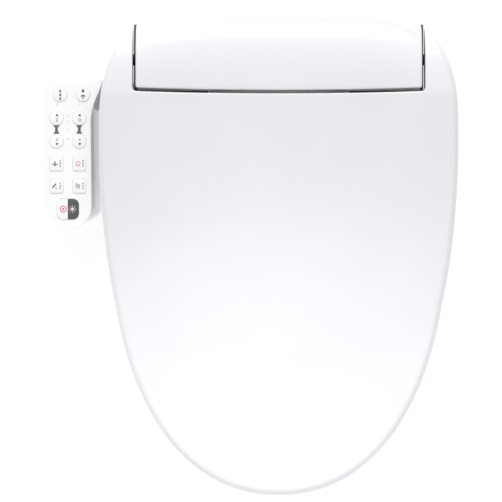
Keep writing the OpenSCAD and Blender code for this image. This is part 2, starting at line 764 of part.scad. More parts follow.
split_half = [11.4, 10.6];
module key_shape(kind, d) {
  if (kind == "round") circle(r = key_r + d);
  if (kind == "square") square([2 * (square_half[0] + d), 2 * (square_half[1] + d)], center = true);
  if (kind == "left") translate([-split_half[0] - d, -split_half[1] - d])
    square([split_half[0] - 0.3 + d + (d > 0 ? 0.3 : 0), 2 * (split_half[1] + d)]);
  if (kind == "right") translate([d > 0 ? 0 : 0.3, -split_half[1] - d])
    square([split_half[0] - 0.3 + d + (d > 0 ? 0.3 : 0), 2 * (split_half[1] + d)]);
}
module key(k) {
  p = key_place(k);
  shift = k[1] == "left" ? -5 : k[1] == "right" ? 5 : 0;
  color(k[1] == "right" ? [0.3, 0.3, 0.32] : [0.97, 0.97, 0.97]) translate([p[0], p[1], 0]) {
    translate([0, 0, panel_z - panel_t - 1.2]) linear_extrude(panel_t + 1.2 + key_proud) key_shape(k[1], 0);
    translate([shift, 0, switch_top + key_travel + 0.1])
      cylinder(r = 1.5, h = panel_z - panel_t - 1 - switch_top - key_travel - 0.1);
  }
}
lamp_places = [[0, -67], [0, -73.3], [0, -81.9], [0, -91.5], [-11.8, -55.1], [12.4, -55.1]];
module panel_cover() {
  color([0.98, 0.98, 0.98]) difference() {
    plan(panel_plan, panel_z - panel_t, panel_z);
    for (k = keys) translate([key_place(k)[0], key_place(k)[1], 0])
      translate([0, 0, panel_z - panel_t - 1]) linear_extrude(panel_t + 2) key_shape(k[1], key_gap);
    for (p = lamp_places) translate([key_x + p[0], p[1], panel_z - panel_t - 1]) cylinder(r = 0.9, h = 5);
  }
}
board_z = 44;
switch_top = board_z + 1.6 + 3.4;
module panel_board() {
  color([0.1, 0.4, 0.25]) difference() {
    plan(inset(panel_plan, wall + 4), board_z, board_z + 1.6);
    box([panel_right - 20.3, -74, board_z - 1], [panel_right + 19.7, 0, board_z + 3]);
  }
}
module panel_switches() {
  color([0.15, 0.15, 0.16]) for (k = keys) {
    shift = k[1] == "left" ? -5 : k[1] == "right" ? 5 : 0;
    if (k[3] < -75 || k[2] < 0.5) translate([key_place(k)[0] + shift, key_place(k)[1], board_z + 1.6]) {
      translate([-3, -3, 0]) cube([6, 6, 2.4]);
      cylinder(r = 1.6, h = 3.4);
    }
  }
}
module indicator_lenses() {
  color([0.9, 0.95, 0.9]) for (p = lamp_places)
    translate([key_x + p[0], p[1], panel_z - panel_t]) cylinder(r = 0.85, h = panel_t + 0.1);
}

base_tray();
rear_cover();
case_screws();
base_feet();
mounting_bracket();
release_button();
release_rocker();
release_latch();
cord_gland();
seat_damper();
lid_damper();
seat_top_shell();
seat_bottom_shell();
seat_heater();
seat_sensor();
seat_bumpers();
lid_shell();
lid_bumpers();
water_inlet();
inlet_filter();
valve_body();
solenoid_coil();
heater_tank();
tank_lid();
water_hose();
nozzle_snout();
nozzle_cradle();
nozzle_wand();
nozzle_tip();
nozzle_carriage();
feed_screw();
nozzle_motor();
fan_housing();
fan_impeller();
fan_motor();
dryer_duct();
dryer_heater();
dryer_grille();
main_board();
board_parts();
night_light();
panel_case();
panel_cover();
panel_board();
panel_switches();
indicator_lenses();
panel_harness();
for (k = keys) key(k);
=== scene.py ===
import math
import json

import bmesh
import bpy
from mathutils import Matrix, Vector

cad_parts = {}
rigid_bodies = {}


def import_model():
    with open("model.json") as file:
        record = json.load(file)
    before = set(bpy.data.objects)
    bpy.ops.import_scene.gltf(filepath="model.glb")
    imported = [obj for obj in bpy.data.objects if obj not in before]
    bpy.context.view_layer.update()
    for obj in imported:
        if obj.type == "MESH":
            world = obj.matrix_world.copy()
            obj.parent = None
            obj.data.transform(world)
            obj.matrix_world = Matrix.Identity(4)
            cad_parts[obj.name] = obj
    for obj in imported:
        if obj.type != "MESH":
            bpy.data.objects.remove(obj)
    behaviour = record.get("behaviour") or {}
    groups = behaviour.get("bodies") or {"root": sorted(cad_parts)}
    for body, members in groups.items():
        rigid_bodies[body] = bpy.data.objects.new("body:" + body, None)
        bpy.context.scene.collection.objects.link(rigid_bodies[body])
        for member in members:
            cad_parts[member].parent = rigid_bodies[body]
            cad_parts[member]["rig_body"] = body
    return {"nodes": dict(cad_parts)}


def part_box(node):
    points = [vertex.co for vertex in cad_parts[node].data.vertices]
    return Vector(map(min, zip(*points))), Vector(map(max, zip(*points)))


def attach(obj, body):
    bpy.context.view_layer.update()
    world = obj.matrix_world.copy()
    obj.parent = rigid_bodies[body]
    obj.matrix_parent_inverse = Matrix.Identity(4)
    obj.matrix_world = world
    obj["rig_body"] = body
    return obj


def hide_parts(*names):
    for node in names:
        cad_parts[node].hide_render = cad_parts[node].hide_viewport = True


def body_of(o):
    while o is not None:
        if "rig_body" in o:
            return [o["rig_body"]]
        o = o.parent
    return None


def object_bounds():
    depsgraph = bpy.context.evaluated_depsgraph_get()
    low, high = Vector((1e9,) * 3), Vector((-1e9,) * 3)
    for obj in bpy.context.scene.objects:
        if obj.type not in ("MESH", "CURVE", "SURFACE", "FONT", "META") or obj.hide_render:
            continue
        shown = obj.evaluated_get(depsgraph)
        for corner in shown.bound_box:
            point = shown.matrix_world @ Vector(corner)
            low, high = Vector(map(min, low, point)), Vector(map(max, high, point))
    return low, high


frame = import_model()
cadLow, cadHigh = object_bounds()
nodes = frame["nodes"]
mm = 0.001
print("frame loaded:", len(nodes), "nodes")


# Small helpers.

def deselectAll():
    if bpy.context.mode != "OBJECT":
        bpy.ops.object.mode_set(mode="OBJECT")
    bpy.ops.object.select_all(action="DESELECT")


def pickOnly(piece):
    deselectAll()
    piece.select_set(True)
    bpy.context.view_layer.objects.active = piece


def applyModifier(piece, kind, **settings):
    pickOnly(piece)
    modifier = piece.modifiers.new(kind.title(), kind)
    for key, value in settings.items():
        setattr(modifier, key, value)
    bpy.ops.object.modifier_apply(modifier=modifier.name)


def softenEdges(piece, width, segments, angle=50):
    applyModifier(piece, "BEVEL", width=width, segments=segments, limit_method="ANGLE",
                  angle_limit=math.radians(angle))


def freezePlace(piece):
    pickOnly(piece)
    bpy.ops.object.transform_apply(location=True, rotation=True, scale=True)


def tidyMesh(piece, smoothAngle=35, mergeGap=0.00001):
    pickOnly(piece)
    bpy.ops.object.mode_set(mode="EDIT")
    bpy.ops.mesh.select_all(action="SELECT")
    bpy.ops.mesh.remove_doubles(threshold=mergeGap)
    bpy.ops.mesh.dissolve_degenerate(threshold=mergeGap)
    bpy.ops.mesh.select_all(action="SELECT")
    bpy.ops.mesh.normals_make_consistent(inside=False)
    bpy.ops.object.mode_set(mode="OBJECT")
    bpy.ops.object.shade_smooth_by_angle(angle=math.radians(smoothAngle))


def joinPieces(main, others):
    pickOnly(main)
    for other in others:
        other.select_set(True)
    bpy.ops.object.join()
    return main


def finishPiece(piece, name, material, body, replaced=()):
    piece.name = name
    piece.data.name = name
    piece.data.materials.clear()
    piece.data.materials.append(material)
    for face in piece.data.polygons:
        face.material_index = 0
    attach(piece, body)
    if replaced:
        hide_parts(*replaced)
    return piece


def copyNode(name):
    deselectAll()
    piece = nodes[name].copy()
    piece.data = nodes[name].data.copy()
    for key in [k for k in piece.keys() if k.startswith("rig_")]:
        del piece[key]
    bpy.context.scene.collection.objects.link(piece)
    piece.parent = None
    piece.hide_viewport = piece.hide_render = False
    pickOnly(piece)
    bpy.ops.object.mode_set(mode="EDIT")
    bpy.ops.mesh.select_all(action="SELECT")
    bpy.ops.mesh.remove_doubles(threshold=0.00002)
    bpy.ops.mesh.dissolve_limited(angle_limit=math.radians(1.5))
    bpy.ops.object.mode_set(mode="OBJECT")
    return piece


def bezier(p0, p1, p2, p3, t):
    s = 1 - t
    return tuple(s ** 3 * a + 3 * s * s * t * b + 3 * s * t * t * c + t ** 3 * d
                 for a, b, c, d in zip(p0, p1, p2, p3))


def bezierRun(points, steps):
    return [bezier(*points, k / steps) for k in range(steps + 1)]


def bodyOf(node):
    return body_of(nodes[node])[0]


# Materials: two shared surface groups, then one material for each kind of surface.

def newGroup(name, inputs, outputs):
    group = bpy.data.node_groups.new(name, "ShaderNodeTree")
    for label, kind, value in inputs:
        socket = group.interface.new_socket(name=label, in_out="INPUT", socket_type=kind)
        socket.default_value = value
    for label, kind in outputs:
        group.interface.new_socket(name=label, in_out="OUTPUT", socket_type=kind)
    return group, group.nodes.new("NodeGroupInput"), group.nodes.new("NodeGroupOutput")


def place(tree, kind, x, y, **settings):
    node = tree.nodes.new(kind)
    node.location = (x, y)
    for key, value in settings.items():
        setattr(node, key, value)
    return node


def mixColour(tree, x, y, blendType="MIX"):
    return place(tree, "ShaderNodeMix", x, y, data_type="RGBA", blend_type=blendType)


def buildMouldedFinish():
    group, start, end = newGroup(
        "mouldedFinish",
        [("Colour", "NodeSocketColor", (0.8, 0.8, 0.8, 1)), ("Shade", "NodeSocketColor", (0.7, 0.7, 0.7, 1)),
         ("Blotch", "NodeSocketFloat", 30.0), ("Gloss Low", "NodeSocketFloat", 0.2),
         ("Gloss High", "NodeSocketFloat", 0.3), ("Grain", "NodeSocketFloat", 900.0),
         ("Depth", "NodeSocketFloat", 0.1)],
        [("Colour", "NodeSocketColor"), ("Roughness", "NodeSocketFloat"), ("Normal", "NodeSocketVector")])
    start.location, end.location = (-900, 0), (700, 0)
    coords = place(group, "ShaderNodeTexCoord", -900, -300)
    blotch = place(group, "ShaderNodeTexNoise", -600, 200)
    blotch.inputs["Detail"].default_value = 4
    grain = place(group, "ShaderNodeTexNoise", -600, -300)
    grain.inputs["Detail"].default_value = 3
    spread = place(group, "ShaderNodeMapRange", -300, 200)
    spread.inputs["From Min"].default_value = 0.3
    spread.inputs["From Max"].default_value = 0.7
    tone = mixColour(group, 0, 300)
    gloss = place(group, "ShaderNodeMapRange", 0, 0)
    gloss.inputs["From Min"].default_value = 0.3
    gloss.inputs["From Max"].default_value = 0.7
    bump = place(group, "ShaderNodeBump", 300, -300)
    bump.inputs["Distance"].default_value = 0.00005
    link = group.links.new
    link(coords.outputs["Object"], blotch.inputs["Vector"])
    link(coords.outputs["Object"], grain.inputs["Vector"])
    link(start.outputs["Blotch"], blotch.inputs["Scale"])
    link(start.outputs["Grain"], grain.inputs["Scale"])
    link(blotch.outputs["Fac"], spread.inputs["Value"])
    link(spread.outputs["Result"], tone.inputs["Factor"])
    link(start.outputs["Colour"], tone.inputs["A"])
    link(start.outputs["Shade"], tone.inputs["B"])
    link(grain.outputs["Fac"], gloss.inputs["Value"])
    link(start.outputs["Gloss Low"], gloss.inputs["To Min"])
    link(start.outputs["Gloss High"], gloss.inputs["To Max"])
    link(grain.outputs["Fac"], bump.inputs["Height"])
    link(start.outputs["Depth"], bump.inputs["Strength"])
    link(tone.outputs["Result"], end.inputs["Colour"])
    link(gloss.outputs["Result"], end.inputs["Roughness"])
    link(bump.outputs["Normal"], end.inputs["Normal"])
    return group


def buildBrushedFinish():
    group, start, end = newGroup(
        "brushedFinish",
        [("Bright", "NodeSocketColor", (0.8, 0.8, 0.8, 1)), ("Dull", "NodeSocketColor", (0.5, 0.5, 0.5, 1)),
         ("Lines", "NodeSocketFloat", 400.0), ("Depth", "NodeSocketFloat", 0.2)],
        [("Colour", "NodeSocketColor"), ("Roughness", "NodeSocketFloat"), ("Normal", "NodeSocketVector")])
    start.location, end.location = (-900, 0), (700, 0)
    coords = place(group, "ShaderNodeTexCoord", -1100, -200)
    stretch = place(group, "ShaderNodeMapping", -900, -300)
    stretch.inputs["Scale"].default_value = (1.0, 0.06, 1.0)
    lines = place(group, "ShaderNodeTexNoise", -600, -200)
    lines.inputs["Detail"].default_value = 5
    tone = mixColour(group, 0, 200)
    rough = place(group, "ShaderNodeMapRange", 0, 0)
    rough.inputs["To Min"].default_value = 0.22
    rough.inputs["To Max"].default_value = 0.42
    bump = place(group, "ShaderNodeBump", 300, -300)
    bump.inputs["Distance"].default_value = 0.00004
    link = group.links.new
    link(coords.outputs["Object"], stretch.inputs["Vector"])
    link(stretch.outputs["Vector"], lines.inputs["Vector"])
    link(start.outputs["Lines"], lines.inputs["Scale"])
    link(lines.outputs["Fac"], tone.inputs["Factor"])
    link(start.outputs["Bright"], tone.inputs["A"])
    link(start.outputs["Dull"], tone.inputs["B"])
    link(lines.outputs["Fac"], rough.inputs["Value"])
    link(lines.outputs["Fac"], bump.inputs["Height"])
    link(start.outputs["Depth"], bump.inputs["Strength"])
    link(tone.outputs["Result"], end.inputs["Colour"])
    link(rough.outputs["Result"], end.inputs["Roughness"])
    link(bump.outputs["Normal"], end.inputs["Normal"])
    return group


mouldedFinish = buildMouldedFinish()
brushedFinish = buildBrushedFinish()


def newMaterial(name, plain):
    material = bpy.data.materials.new(name)
    material.use_nodes = True
    material.diffuse_color = (*plain, 1)
    return material, material.node_tree, material.node_tree.nodes["Principled BSDF"]


def useGroup(tree, shader, group, values):
    node = place(tree, "ShaderNodeGroup", -400, 0, node_tree=group, name=group.name)
    for label, value in values.items():
        node.inputs[label].default_value = value
    tree.links.new(node.outputs["Colour"], shader.inputs["Base Color"])
    tree.links.new(node.outputs["Roughness"], shader.inputs["Roughness"])
    tree.links.new(node.outputs["Normal"], shader.inputs["Normal"])


def mouldedMaterial(name, colour, shade, gloss, blotch, grain, depth, coat=0.0):
    material, tree, shader = newMaterial(name, colour)
    useGroup(tree, shader, mouldedFinish, {
        "Colour": (*colour, 1), "Shade": (*shade, 1), "Blotch": blotch, "Gloss Low": gloss[0],
        "Gloss High": gloss[1], "Grain": grain, "Depth": depth})
    shader.inputs["Coat Weight"].default_value = coat
    shader.inputs["Coat Roughness"].default_value = 0.06
    return material


def brushedMaterial(name, bright, dull):
    material, tree, shader = newMaterial(name, bright)
    useGroup(tree, shader, brushedFinish, {
        "Bright": (*bright, 1), "Dull": (*dull, 1), "Lines": 400.0, "Depth": 0.2})
    shader.inputs["Metallic"].default_value = 1.0
    return material


def boardMaterial(name):
    material, tree, shader = newMaterial(name, (0.02, 0.16, 0.07))
    coords = place(tree, "ShaderNodeTexCoord", -1100, 0)
    cells = place(tree, "ShaderNodeTexVoronoi", -800, 100, distance="MANHATTAN", feature="DISTANCE_TO_EDGE")
    cells.inputs["Scale"].default_value = 160
    edge = place(tree, "ShaderNodeMapRange", -560, 100)
    edge.inputs["From Max"].default_value = 0.09
    tracks = mixColour(tree, -300, 200)
    tracks.inputs["A"].default_value = (0.30, 0.24, 0.06, 1)
    tracks.inputs["B"].default_value = (0.015, 0.13, 0.055, 1)
    bump = place(tree, "ShaderNodeBump", -300, -200)
    bump.inputs["Strength"].default_value = 0.3
    bump.inputs["Distance"].default_value = 0.0001
    tree.links.new(coords.outputs["Object"], cells.inputs["Vector"])
    tree.links.new(cells.outputs["Distance"], edge.inputs["Value"])
    tree.links.new(edge.outputs["Result"], tracks.inputs["Factor"])
    tree.links.new(tracks.outputs["Result"], shader.inputs["Base Color"])
    tree.links.new(edge.outputs["Result"], bump.inputs["Height"])
    tree.links.new(bump.outputs["Normal"], shader.inputs["Normal"])
    shader.inputs["Roughness"].default_value = 0.35
    return material


def windingMaterial(name):
    material, tree, shader = newMaterial(name, (0.6, 0.25, 0.1))
    coords = place(tree, "ShaderNodeTexCoord", -1100, 0)
    turns = place(tree, "ShaderNodeTexWave", -800, 0, wave_type="BANDS", bands_direction="Z")
    turns.inputs["Scale"].default_value = 420
    turns.inputs["Distortion"].default_value = 0.6
    tone = mixColour(tree, -300, 200)
    tone.inputs["A"].default_value = (0.22, 0.07, 0.02, 1)
    tone.inputs["B"].default_value = (0.85, 0.42, 0.2, 1)
    bump = place(tree, "ShaderNodeBump", -300, -200)
    bump.inputs["Strength"].default_value = 0.7
    bump.inputs["Distance"].default_value = 0.0003
    tree.links.new(coords.outputs["Object"], turns.inputs["Vector"])
    tree.links.new(turns.outputs["Fac"], tone.inputs["Factor"])
    tree.links.new(tone.outputs["Result"], shader.inputs["Base Color"])
    tree.links.new(turns.outputs["Fac"], bump.inputs["Height"])
    tree.links.new(bump.outputs["Normal"], shader.inputs["Normal"])
    shader.inputs["Metallic"].default_value = 1.0
    shader.inputs["Roughness"].default_value = 0.3
    return material


mouldedLooks = {   # colour, blotch colour, gloss range, blotch scale, grain scale, grain depth, coat
    "shellGloss": ((0.86, 0.865, 0.875), (0.83, 0.836, 0.85), (0.16, 0.24), 9, 1400, 0.03, 0.35),
    "panelGloss": ((0.96, 0.96, 0.96), (0.94, 0.94, 0.945), (0.24, 0.32), 14, 1600, 0.03, 0.2),
    "satinWhite": ((0.80, 0.80, 0.795), (0.76, 0.76, 0.755), (0.38, 0.52), 16, 2200, 0.25),
    "keyWhite": ((0.955, 0.955, 0.955), (0.93, 0.93, 0.935), (0.3, 0.4), 60, 2600, 0.08, 0.1),
    "keyDark": ((0.075, 0.075, 0.08), (0.095, 0.095, 0.1), (0.3, 0.42), 60, 2600, 0.1),
    "greyPlastic": ((0.30, 0.31, 0.32), (0.26, 0.27, 0.28), (0.4, 0.55), 20, 2000, 0.3),
    "darkPlastic": ((0.03, 0.03, 0.034), (0.045, 0.045, 0.05), (0.42, 0.58), 20, 2000, 0.35),
    "greyRubber": ((0.34, 0.345, 0.35), (0.28, 0.285, 0.29), (0.62, 0.8), 30, 1500, 0.6),
    # The next finish is near black: painted shadow for the seam gap between the rear cover and the lid.
    "sealRubber": ((0.09, 0.094, 0.10), (0.12, 0.124, 0.13), (0.6, 0.8), 30, 1500, 0.5),
    "darkRubber": ((0.02, 0.02, 0.021), (0.035, 0.035, 0.036), (0.6, 0.8), 30, 1500, 0.6),
    "inkBlack": ((0.03, 0.03, 0.032), (0.05, 0.05, 0.052), (0.35, 0.5), 300, 3000, 0.1),
    "inkGrey": ((0.10, 0.10, 0.105), (0.17, 0.17, 0.175), (0.35, 0.5), 300, 3000, 0.1),
    "inkPink": ((0.78, 0.045, 0.10), (0.84, 0.07, 0.14), (0.35, 0.5), 300, 3000, 0.1),
    "inkWhite": ((0.8, 0.8, 0.8), (0.72, 0.72, 0.72), (0.35, 0.5), 300, 3000, 0.1),
    "lampLens": ((0.80, 0.80, 0.79), (0.72, 0.72, 0.71), (0.12, 0.2), 200, 2500, 0.1, 0.5),
    "blueLens": ((0.45, 0.68, 0.86), (0.38, 0.6, 0.8), (0.08, 0.16), 80, 1500, 0.1, 0.6),
    "heaterFilm": ((0.52, 0.24, 0.03), (0.42, 0.18, 0.02), (0.2, 0.35), 25, 600, 0.3),
}
finish = {name: mouldedMaterial(name, *look) for name, look in mouldedLooks.items()}
finish["steel"] = brushedMaterial("steel", (0.80, 0.80, 0.79), (0.55, 0.55, 0.55))
finish["copperWinding"] = windingMaterial("copperWinding")
finish["circuitBoard"] = boardMaterial("circuitBoard")
print("materials built:", len(finish))


# The plan outline that the lid, the seat and the housing share.

plan = {
    "width": 0.381, "length": 0.518, "rear": 0.048,
    "curves": [   # right half, rear centre to front tip: share of the half width, share of the length
        ((0, 0), (0.3, 0), (0.515, 0.001), (0.658, 0.0116)),
        ((0.658, 0.0116), (0.83, 0.029), (0.962, 0.085), (0.99, 0.193)),
        ((0.99, 0.193), (1.004, 0.276), (0.999, 0.459), (0.907, 0.61)),
        ((0.907, 0.61), (0.815, 0.822), (0.526, 1), (0, 1))],
    "step": 0.0035,
}


def evenSteps(points, step):
    lengths = [0.0]
    for a, b in zip(points, points[1:]):
        lengths.append(lengths[-1] + math.dist(a, b))
    count = max(2, round(lengths[-1] / step))
    result, k = [], 0
    for j in range(count + 1):
        want = lengths[-1] * j / count
        while k < len(points) - 2 and lengths[k + 1] < want:
            k += 1
        span = lengths[k + 1] - lengths[k]
        t = (want - lengths[k]) / span if span > 0 else 0
        result.append(tuple(a + (b - a) * t for a, b in zip(points[k], points[k + 1])))
    return result


def halfOutline():
    line = []
    for curve in plan["curves"]:
        run = bezierRun(curve, 80)
        line += run if not line else run[1:]
    return [(u * plan["width"] / 2, plan["rear"] - v * plan["length"]) for u, v in line]


outlineRight = halfOutline()


def outlineX(y):
    for (x0, y0), (x1, y1) in zip(outlineRight, outlineRight[1:]):
        if y1 <= y <= y0 and y0 > y1:
            return x0 + (x1 - x0) * (y0 - y) / (y0 - y1)
    return 0.0


def outlineRearY(x):
    for (x0, y0), (x1, y1) in zip(outlineRight, outlineRight[1:]):
        if x0 <= x <= x1 and x1 > x0:
            return y0 + (y1 - y0) * (x - x0) / (x1 - x0)
    return plan["rear"]


def loopNormals(loop):
    normals = []
    for k in range(len(loop)):
        a, b = Vector(loop[k - 1]), Vector(loop[(k + 1) % len(loop)])
        tangent = (b - a).normalized()
        normals.append(Vector((-tangent.y, tangent.x)))   # inwards on a counter-clockwise loop
    return normals


# Rings: a circle pulled onto an outline, then extruded ring by ring.

def ringStart(positions):
    deselectAll()
    bpy.ops.mesh.primitive_circle_add(vertices=len(positions), radius=0.1, fill_type="NOTHING")
    piece = bpy.context.object
    bpy.ops.object.mode_set(mode="EDIT")
    bpy.ops.mesh.select_mode(type="EDGE")
    mesh = bmesh.from_edit_mesh(piece.data)
    for vertex, position in zip(mesh.verts, positions):
        vertex.co = position
    bmesh.update_edit_mesh(piece.data)
    return piece, list(range(len(positions)))


def pickRing(piece, ring):
    bpy.ops.mesh.select_all(action="DESELECT")
    mesh = bmesh.from_edit_mesh(piece.data)
    mesh.verts.ensure_lookup_table()
    for a, b in zip(ring, ring[1:] + ring[:1]):
        mesh.edges.get((mesh.verts[a], mesh.verts[b])).select_set(True)
    bmesh.update_edit_mesh(piece.data)


def ringGrow(piece, ring, positions):
    pickRing(piece, ring)
    bpy.ops.mesh.extrude_edges_move()
    mesh = bmesh.from_edit_mesh(piece.data)
    mesh.verts.index_update()
    order = {index: k for k, index in enumerate(ring)}
    grown = [0] * len(ring)
    for vertex in mesh.verts:
        if vertex.select:
            for edge in vertex.link_edges:
                other = edge.other_vert(vertex)
                if not other.select and other.index in order:
                    grown[order[other.index]] = vertex.index
    mesh.verts.ensure_lookup_table()
    for index, position in zip(grown, positions):
        mesh.verts[index].co = position
    bmesh.update_edit_mesh(piece.data)
    return grown


def ringFill(piece, ring):
    pickRing(piece, ring)
    bpy.ops.mesh.edge_face_add()


def ringsPiece(layers, fillFirst=True, fillLast=True):
    piece, ring = ringStart(layers[0])
    first = ring
    for layer in layers[1:]:
        ring = ringGrow(piece, ring, layer)
    if fillFirst:
        ringFill(piece, first)
    if fillLast:
        ringFill(piece, ring)
    return piece, first, ring


def cutAcross(levels):
    for level in levels:
        bpy.ops.mesh.select_all(action="SELECT")
        bpy.ops.mesh.bisect(plane_co=(0, level, 0), plane_no=(0, 1, 0))


def roundTurn(before, corner, after, radius, steps=6):
    a, c, b = Vector(before), Vector(corner), Vector(after)
    u, w = (a - c).normalized(), (b - c).normalized()
    reach = radius / math.tan(u.angle(w) / 2)
    start, end = c + u * reach, c + w * reach
    return [tuple((1 - t) ** 2 * start + 2 * t * (1 - t) * c + t * t * end)
            for t in (k / steps for k in range(steps + 1))]


def polyLoop(*runs):
    loop = []
    for run in runs:
        for point in run:
            if not loop or math.dist(loop[-1], point) > 0.0004:
                loop.append(tuple(point))
    if math.dist(loop[0], loop[-1]) < 0.0004:
        loop.pop()
    return loop


# The lid.

lidShape = {
    "notchHalf": 0.1541, "notchY": -0.0448, "notchBow": 0.0026, "armEnd": 0.0252, "cornerRadius": 0.005,
    "wall": 0.0035, "cheek": 0.0025, "edgeRadius": 0.0075, "seamRadius": 0.0016,
    "armProfile": ((0.024, 0.056), (0.028, 0.092), (0.010, 0.113), (-0.0448, 0.1099)),
    "topProfile": ((-0.0448, 0.1099), (-0.1748, 0.0899), (-0.330, 0.064), (-0.470, 0.058)),
    "rim": ((0.024, 0.056), (-0.066, 0.056), (-0.470, 0.044)),
    "bossX": (0.1670, 0.1735), "bossRadius": 0.010, "bossRise": 0.03, "hinge": (-0.008, 0.062),
    "endRadius": 0.0012, "tipRadius": 0.0016,
}
print("lid: outline and profiles set")


def profileHeight(runs, y):
    points = [p for run in runs for p in run]
    best = None
    for (y0, z0), (y1, z1) in zip(points, points[1:]):
        if min(y0, y1) <= y <= max(y0, y1) and y0 != y1:
            best = z0 + (z1 - z0) * (y0 - y) / (y0 - y1)
    if best is None:
        best = points[-1][1] if y < points[-1][0] else max(points, key=lambda p: p[0])[1]
    return best


lidRuns = [bezierRun(lidShape["armProfile"], 60), bezierRun(lidShape["topProfile"], 90)]


def lidTop(y):
    return profileHeight(lidRuns, y)


def lidRim(y):
    return profileHeight([lidShape["rim"]], y)


def edgeCurve(radius, steps):
    return [(radius * (1 - math.cos(a)), -radius * (1 - math.sin(a)))
            for a in (math.pi / 2 * k / steps for k in range(steps + 1))]


def buildBoss(sign):
    s = lidShape
    x0, x1 = s["bossX"]
    deselectAll()
    bpy.ops.mesh.primitive_cylinder_add(vertices=48, radius=s["bossRadius"], depth=x1 - x0,
                                        location=(sign * (x0 + x1) / 2, *s["hinge"]),
                                        rotation=(0, math.pi / 2, 0))
    boss = bpy.context.object
    freezePlace(boss)
    bpy.ops.object.mode_set(mode="EDIT")
    bpy.ops.mesh.select_mode(type="FACE")
    bpy.ops.mesh.select_all(action="DESELECT")
    mesh = bmesh.from_edit_mesh(boss.data)
    for face in mesh.faces:
        if face.normal.z > 0.5:
            face.select_set(True)
    bmesh.update_edit_mesh(boss.data)
    bpy.ops.mesh.extrude_region_move(TRANSFORM_OT_translate={"value": (0, 0, s["bossRise"])})
    bpy.ops.object.mode_set(mode="OBJECT")
    softenEdges(boss, 0.0006, 2)
    tidyMesh(boss)
    return boss


def buildLid():
    s = lidShape
    xEnd = outlineX(s["armEnd"])
    side = [p for p in outlineRight if p[1] < s["armEnd"] - 0.0035]
    right = [(x, y) for x, y in reversed(side)]
    left = [(-x, y) for x, y in side]
    outer = evenSteps(left + right[1:], plan["step"])
    notch, yn = s["notchHalf"], s["notchY"]
    sideY = yn + s["notchBow"]
    endCorner = roundTurn(right[-1], (xEnd, s["armEnd"]), (notch, s["armEnd"]), s["endRadius"], 4)
    tipCorner = roundTurn((xEnd, s["armEnd"]), (notch, s["armEnd"]), (notch, sideY), s["tipRadius"], 4)
    notchCorner = roundTurn((notch, s["armEnd"]), (notch, sideY), (0, sideY), s["cornerRadius"], 8)
    down = evenSteps([tipCorner[-1], notchCorner[0]], plan["step"])
    halfEdge = evenSteps([notchCorner[-1], (0, sideY)], plan["step"])
    half = [(x, y - s["notchBow"] * (1 - (x / notch) ** 2) * (1 if y <= sideY + 0.0001 else 0))
            for x, y in halfEdge]
    rightEnd = polyLoop(endCorner, tipCorner, down, notchCorner, half)
    leftEnd = [(-x, y) for x, y in reversed(rightEnd)][1:]
    loop = polyLoop(outer, rightEnd, leftEnd)
    normals = loopNormals(loop)
    radius, wall, rimCode = [], [], []
    for x, y in loop:
        onNotch = abs(x) <= notch + 0.0002 and y > yn - 0.001
        width = abs(outlineX(y)) - notch if y > yn else 1.0
        if onNotch:
            radius.append(min(s["seamRadius"], 0.22 * max(width, 0.002)) if y > yn else s["seamRadius"])
            wall.append(min(s["cheek"], 0.3 * max(width, 0.004)) if abs(x) > notch - 0.001 else s["wall"])
            rimCode.append(-1.0 if abs(x) > notch - 0.0008 else -s["wall"])
        else:
            radius.append(min(s["edgeRadius"], 0.3 * max(width, 0.002)))
            wall.append(min(s["wall"], 0.3 * max(width, 0.004)))
            rimCode.append(-1.0)

    def layer(insets, codes):
        return [(p[0] + n.x * i, p[1] + n.y * i, c) for p, n, i, c in zip(loop, normals, insets, codes)]

    none = [0.0] * len(loop)
    layers = [layer(wall, [-w for w in wall]), layer(wall, rimCode), layer(none, rimCode)]
    for k in range(7):
        curve = [edgeCurve(r, 6)[k] for r in radius]
        layers.append(layer([c[0] for c in curve], [c[1] for c in curve]))
    layers.append(layer([r * 1.25 + 0.0006 for r in radius], none))
    piece, _, _ = ringsPiece(layers)
    levels = sorted({round(p[0], 5) for run in lidRuns for p in run if p[0] < s["armEnd"] - 0.0002})
    cutAcross([y for k, y in enumerate(levels) if k % 2 == 0 or y > -0.02])
    bpy.ops.object.mode_set(mode="OBJECT")
    for vertex in piece.data.vertices:
        x, y, code = vertex.co
        top = lidTop(y)
        if code > -0.02:
            vertex.co.z = top + code
        else:
            share = (-code - 0.02) / 0.98
            vertex.co.z = (top - 0.02) * (1 - share) + lidRim(y) * share
    tidyMesh(piece, 40, 0.000002)
    joinPieces(piece, [buildBoss(sign) for sign in (-1, 1)])
    return finishPiece(piece, "lid", finish["shellGloss"], bodyOf("lid_shell"), ["lid_shell"])


lid = buildLid()
print("lid built:", len(lid.data.polygons), "faces")


# The upper part of the seat ring.

seatShape = {
    "inset": 0.006, "rearY": -0.066, "top": ((-0.066, 0.058), (-0.464, 0.044)), "split": 0.030,
    "outerRadius": 0.013, "holeRadius": 0.011, "dip": 0.0035, "rearRadius": 0.006, "blend": 0.03,
    "cornerRadius": 0.007, "edgeSteps": 8, "spacing": 0.004,
    "hole": [((0, -0.108), (0.0663, -0.108), (0.107, -0.153), (0.107, -0.228)),
             ((0.107, -0.228), (0.107, -0.316), (0.0642, -0.396), (0, -0.396))],
    "armCut": -0.070,   # the hinge arms behind this come from the CAD shape
    "bridgeHalf": 0.080, "bridgeY": -0.114, "bridgeZ": 0.046,   # room for the nozzle's snout
}


def seatTop(y):
    (y0, z0), (y1, z1) = seatShape["top"]
    return z0 + (z1 - z0) * (y - y0) / (y1 - y0)


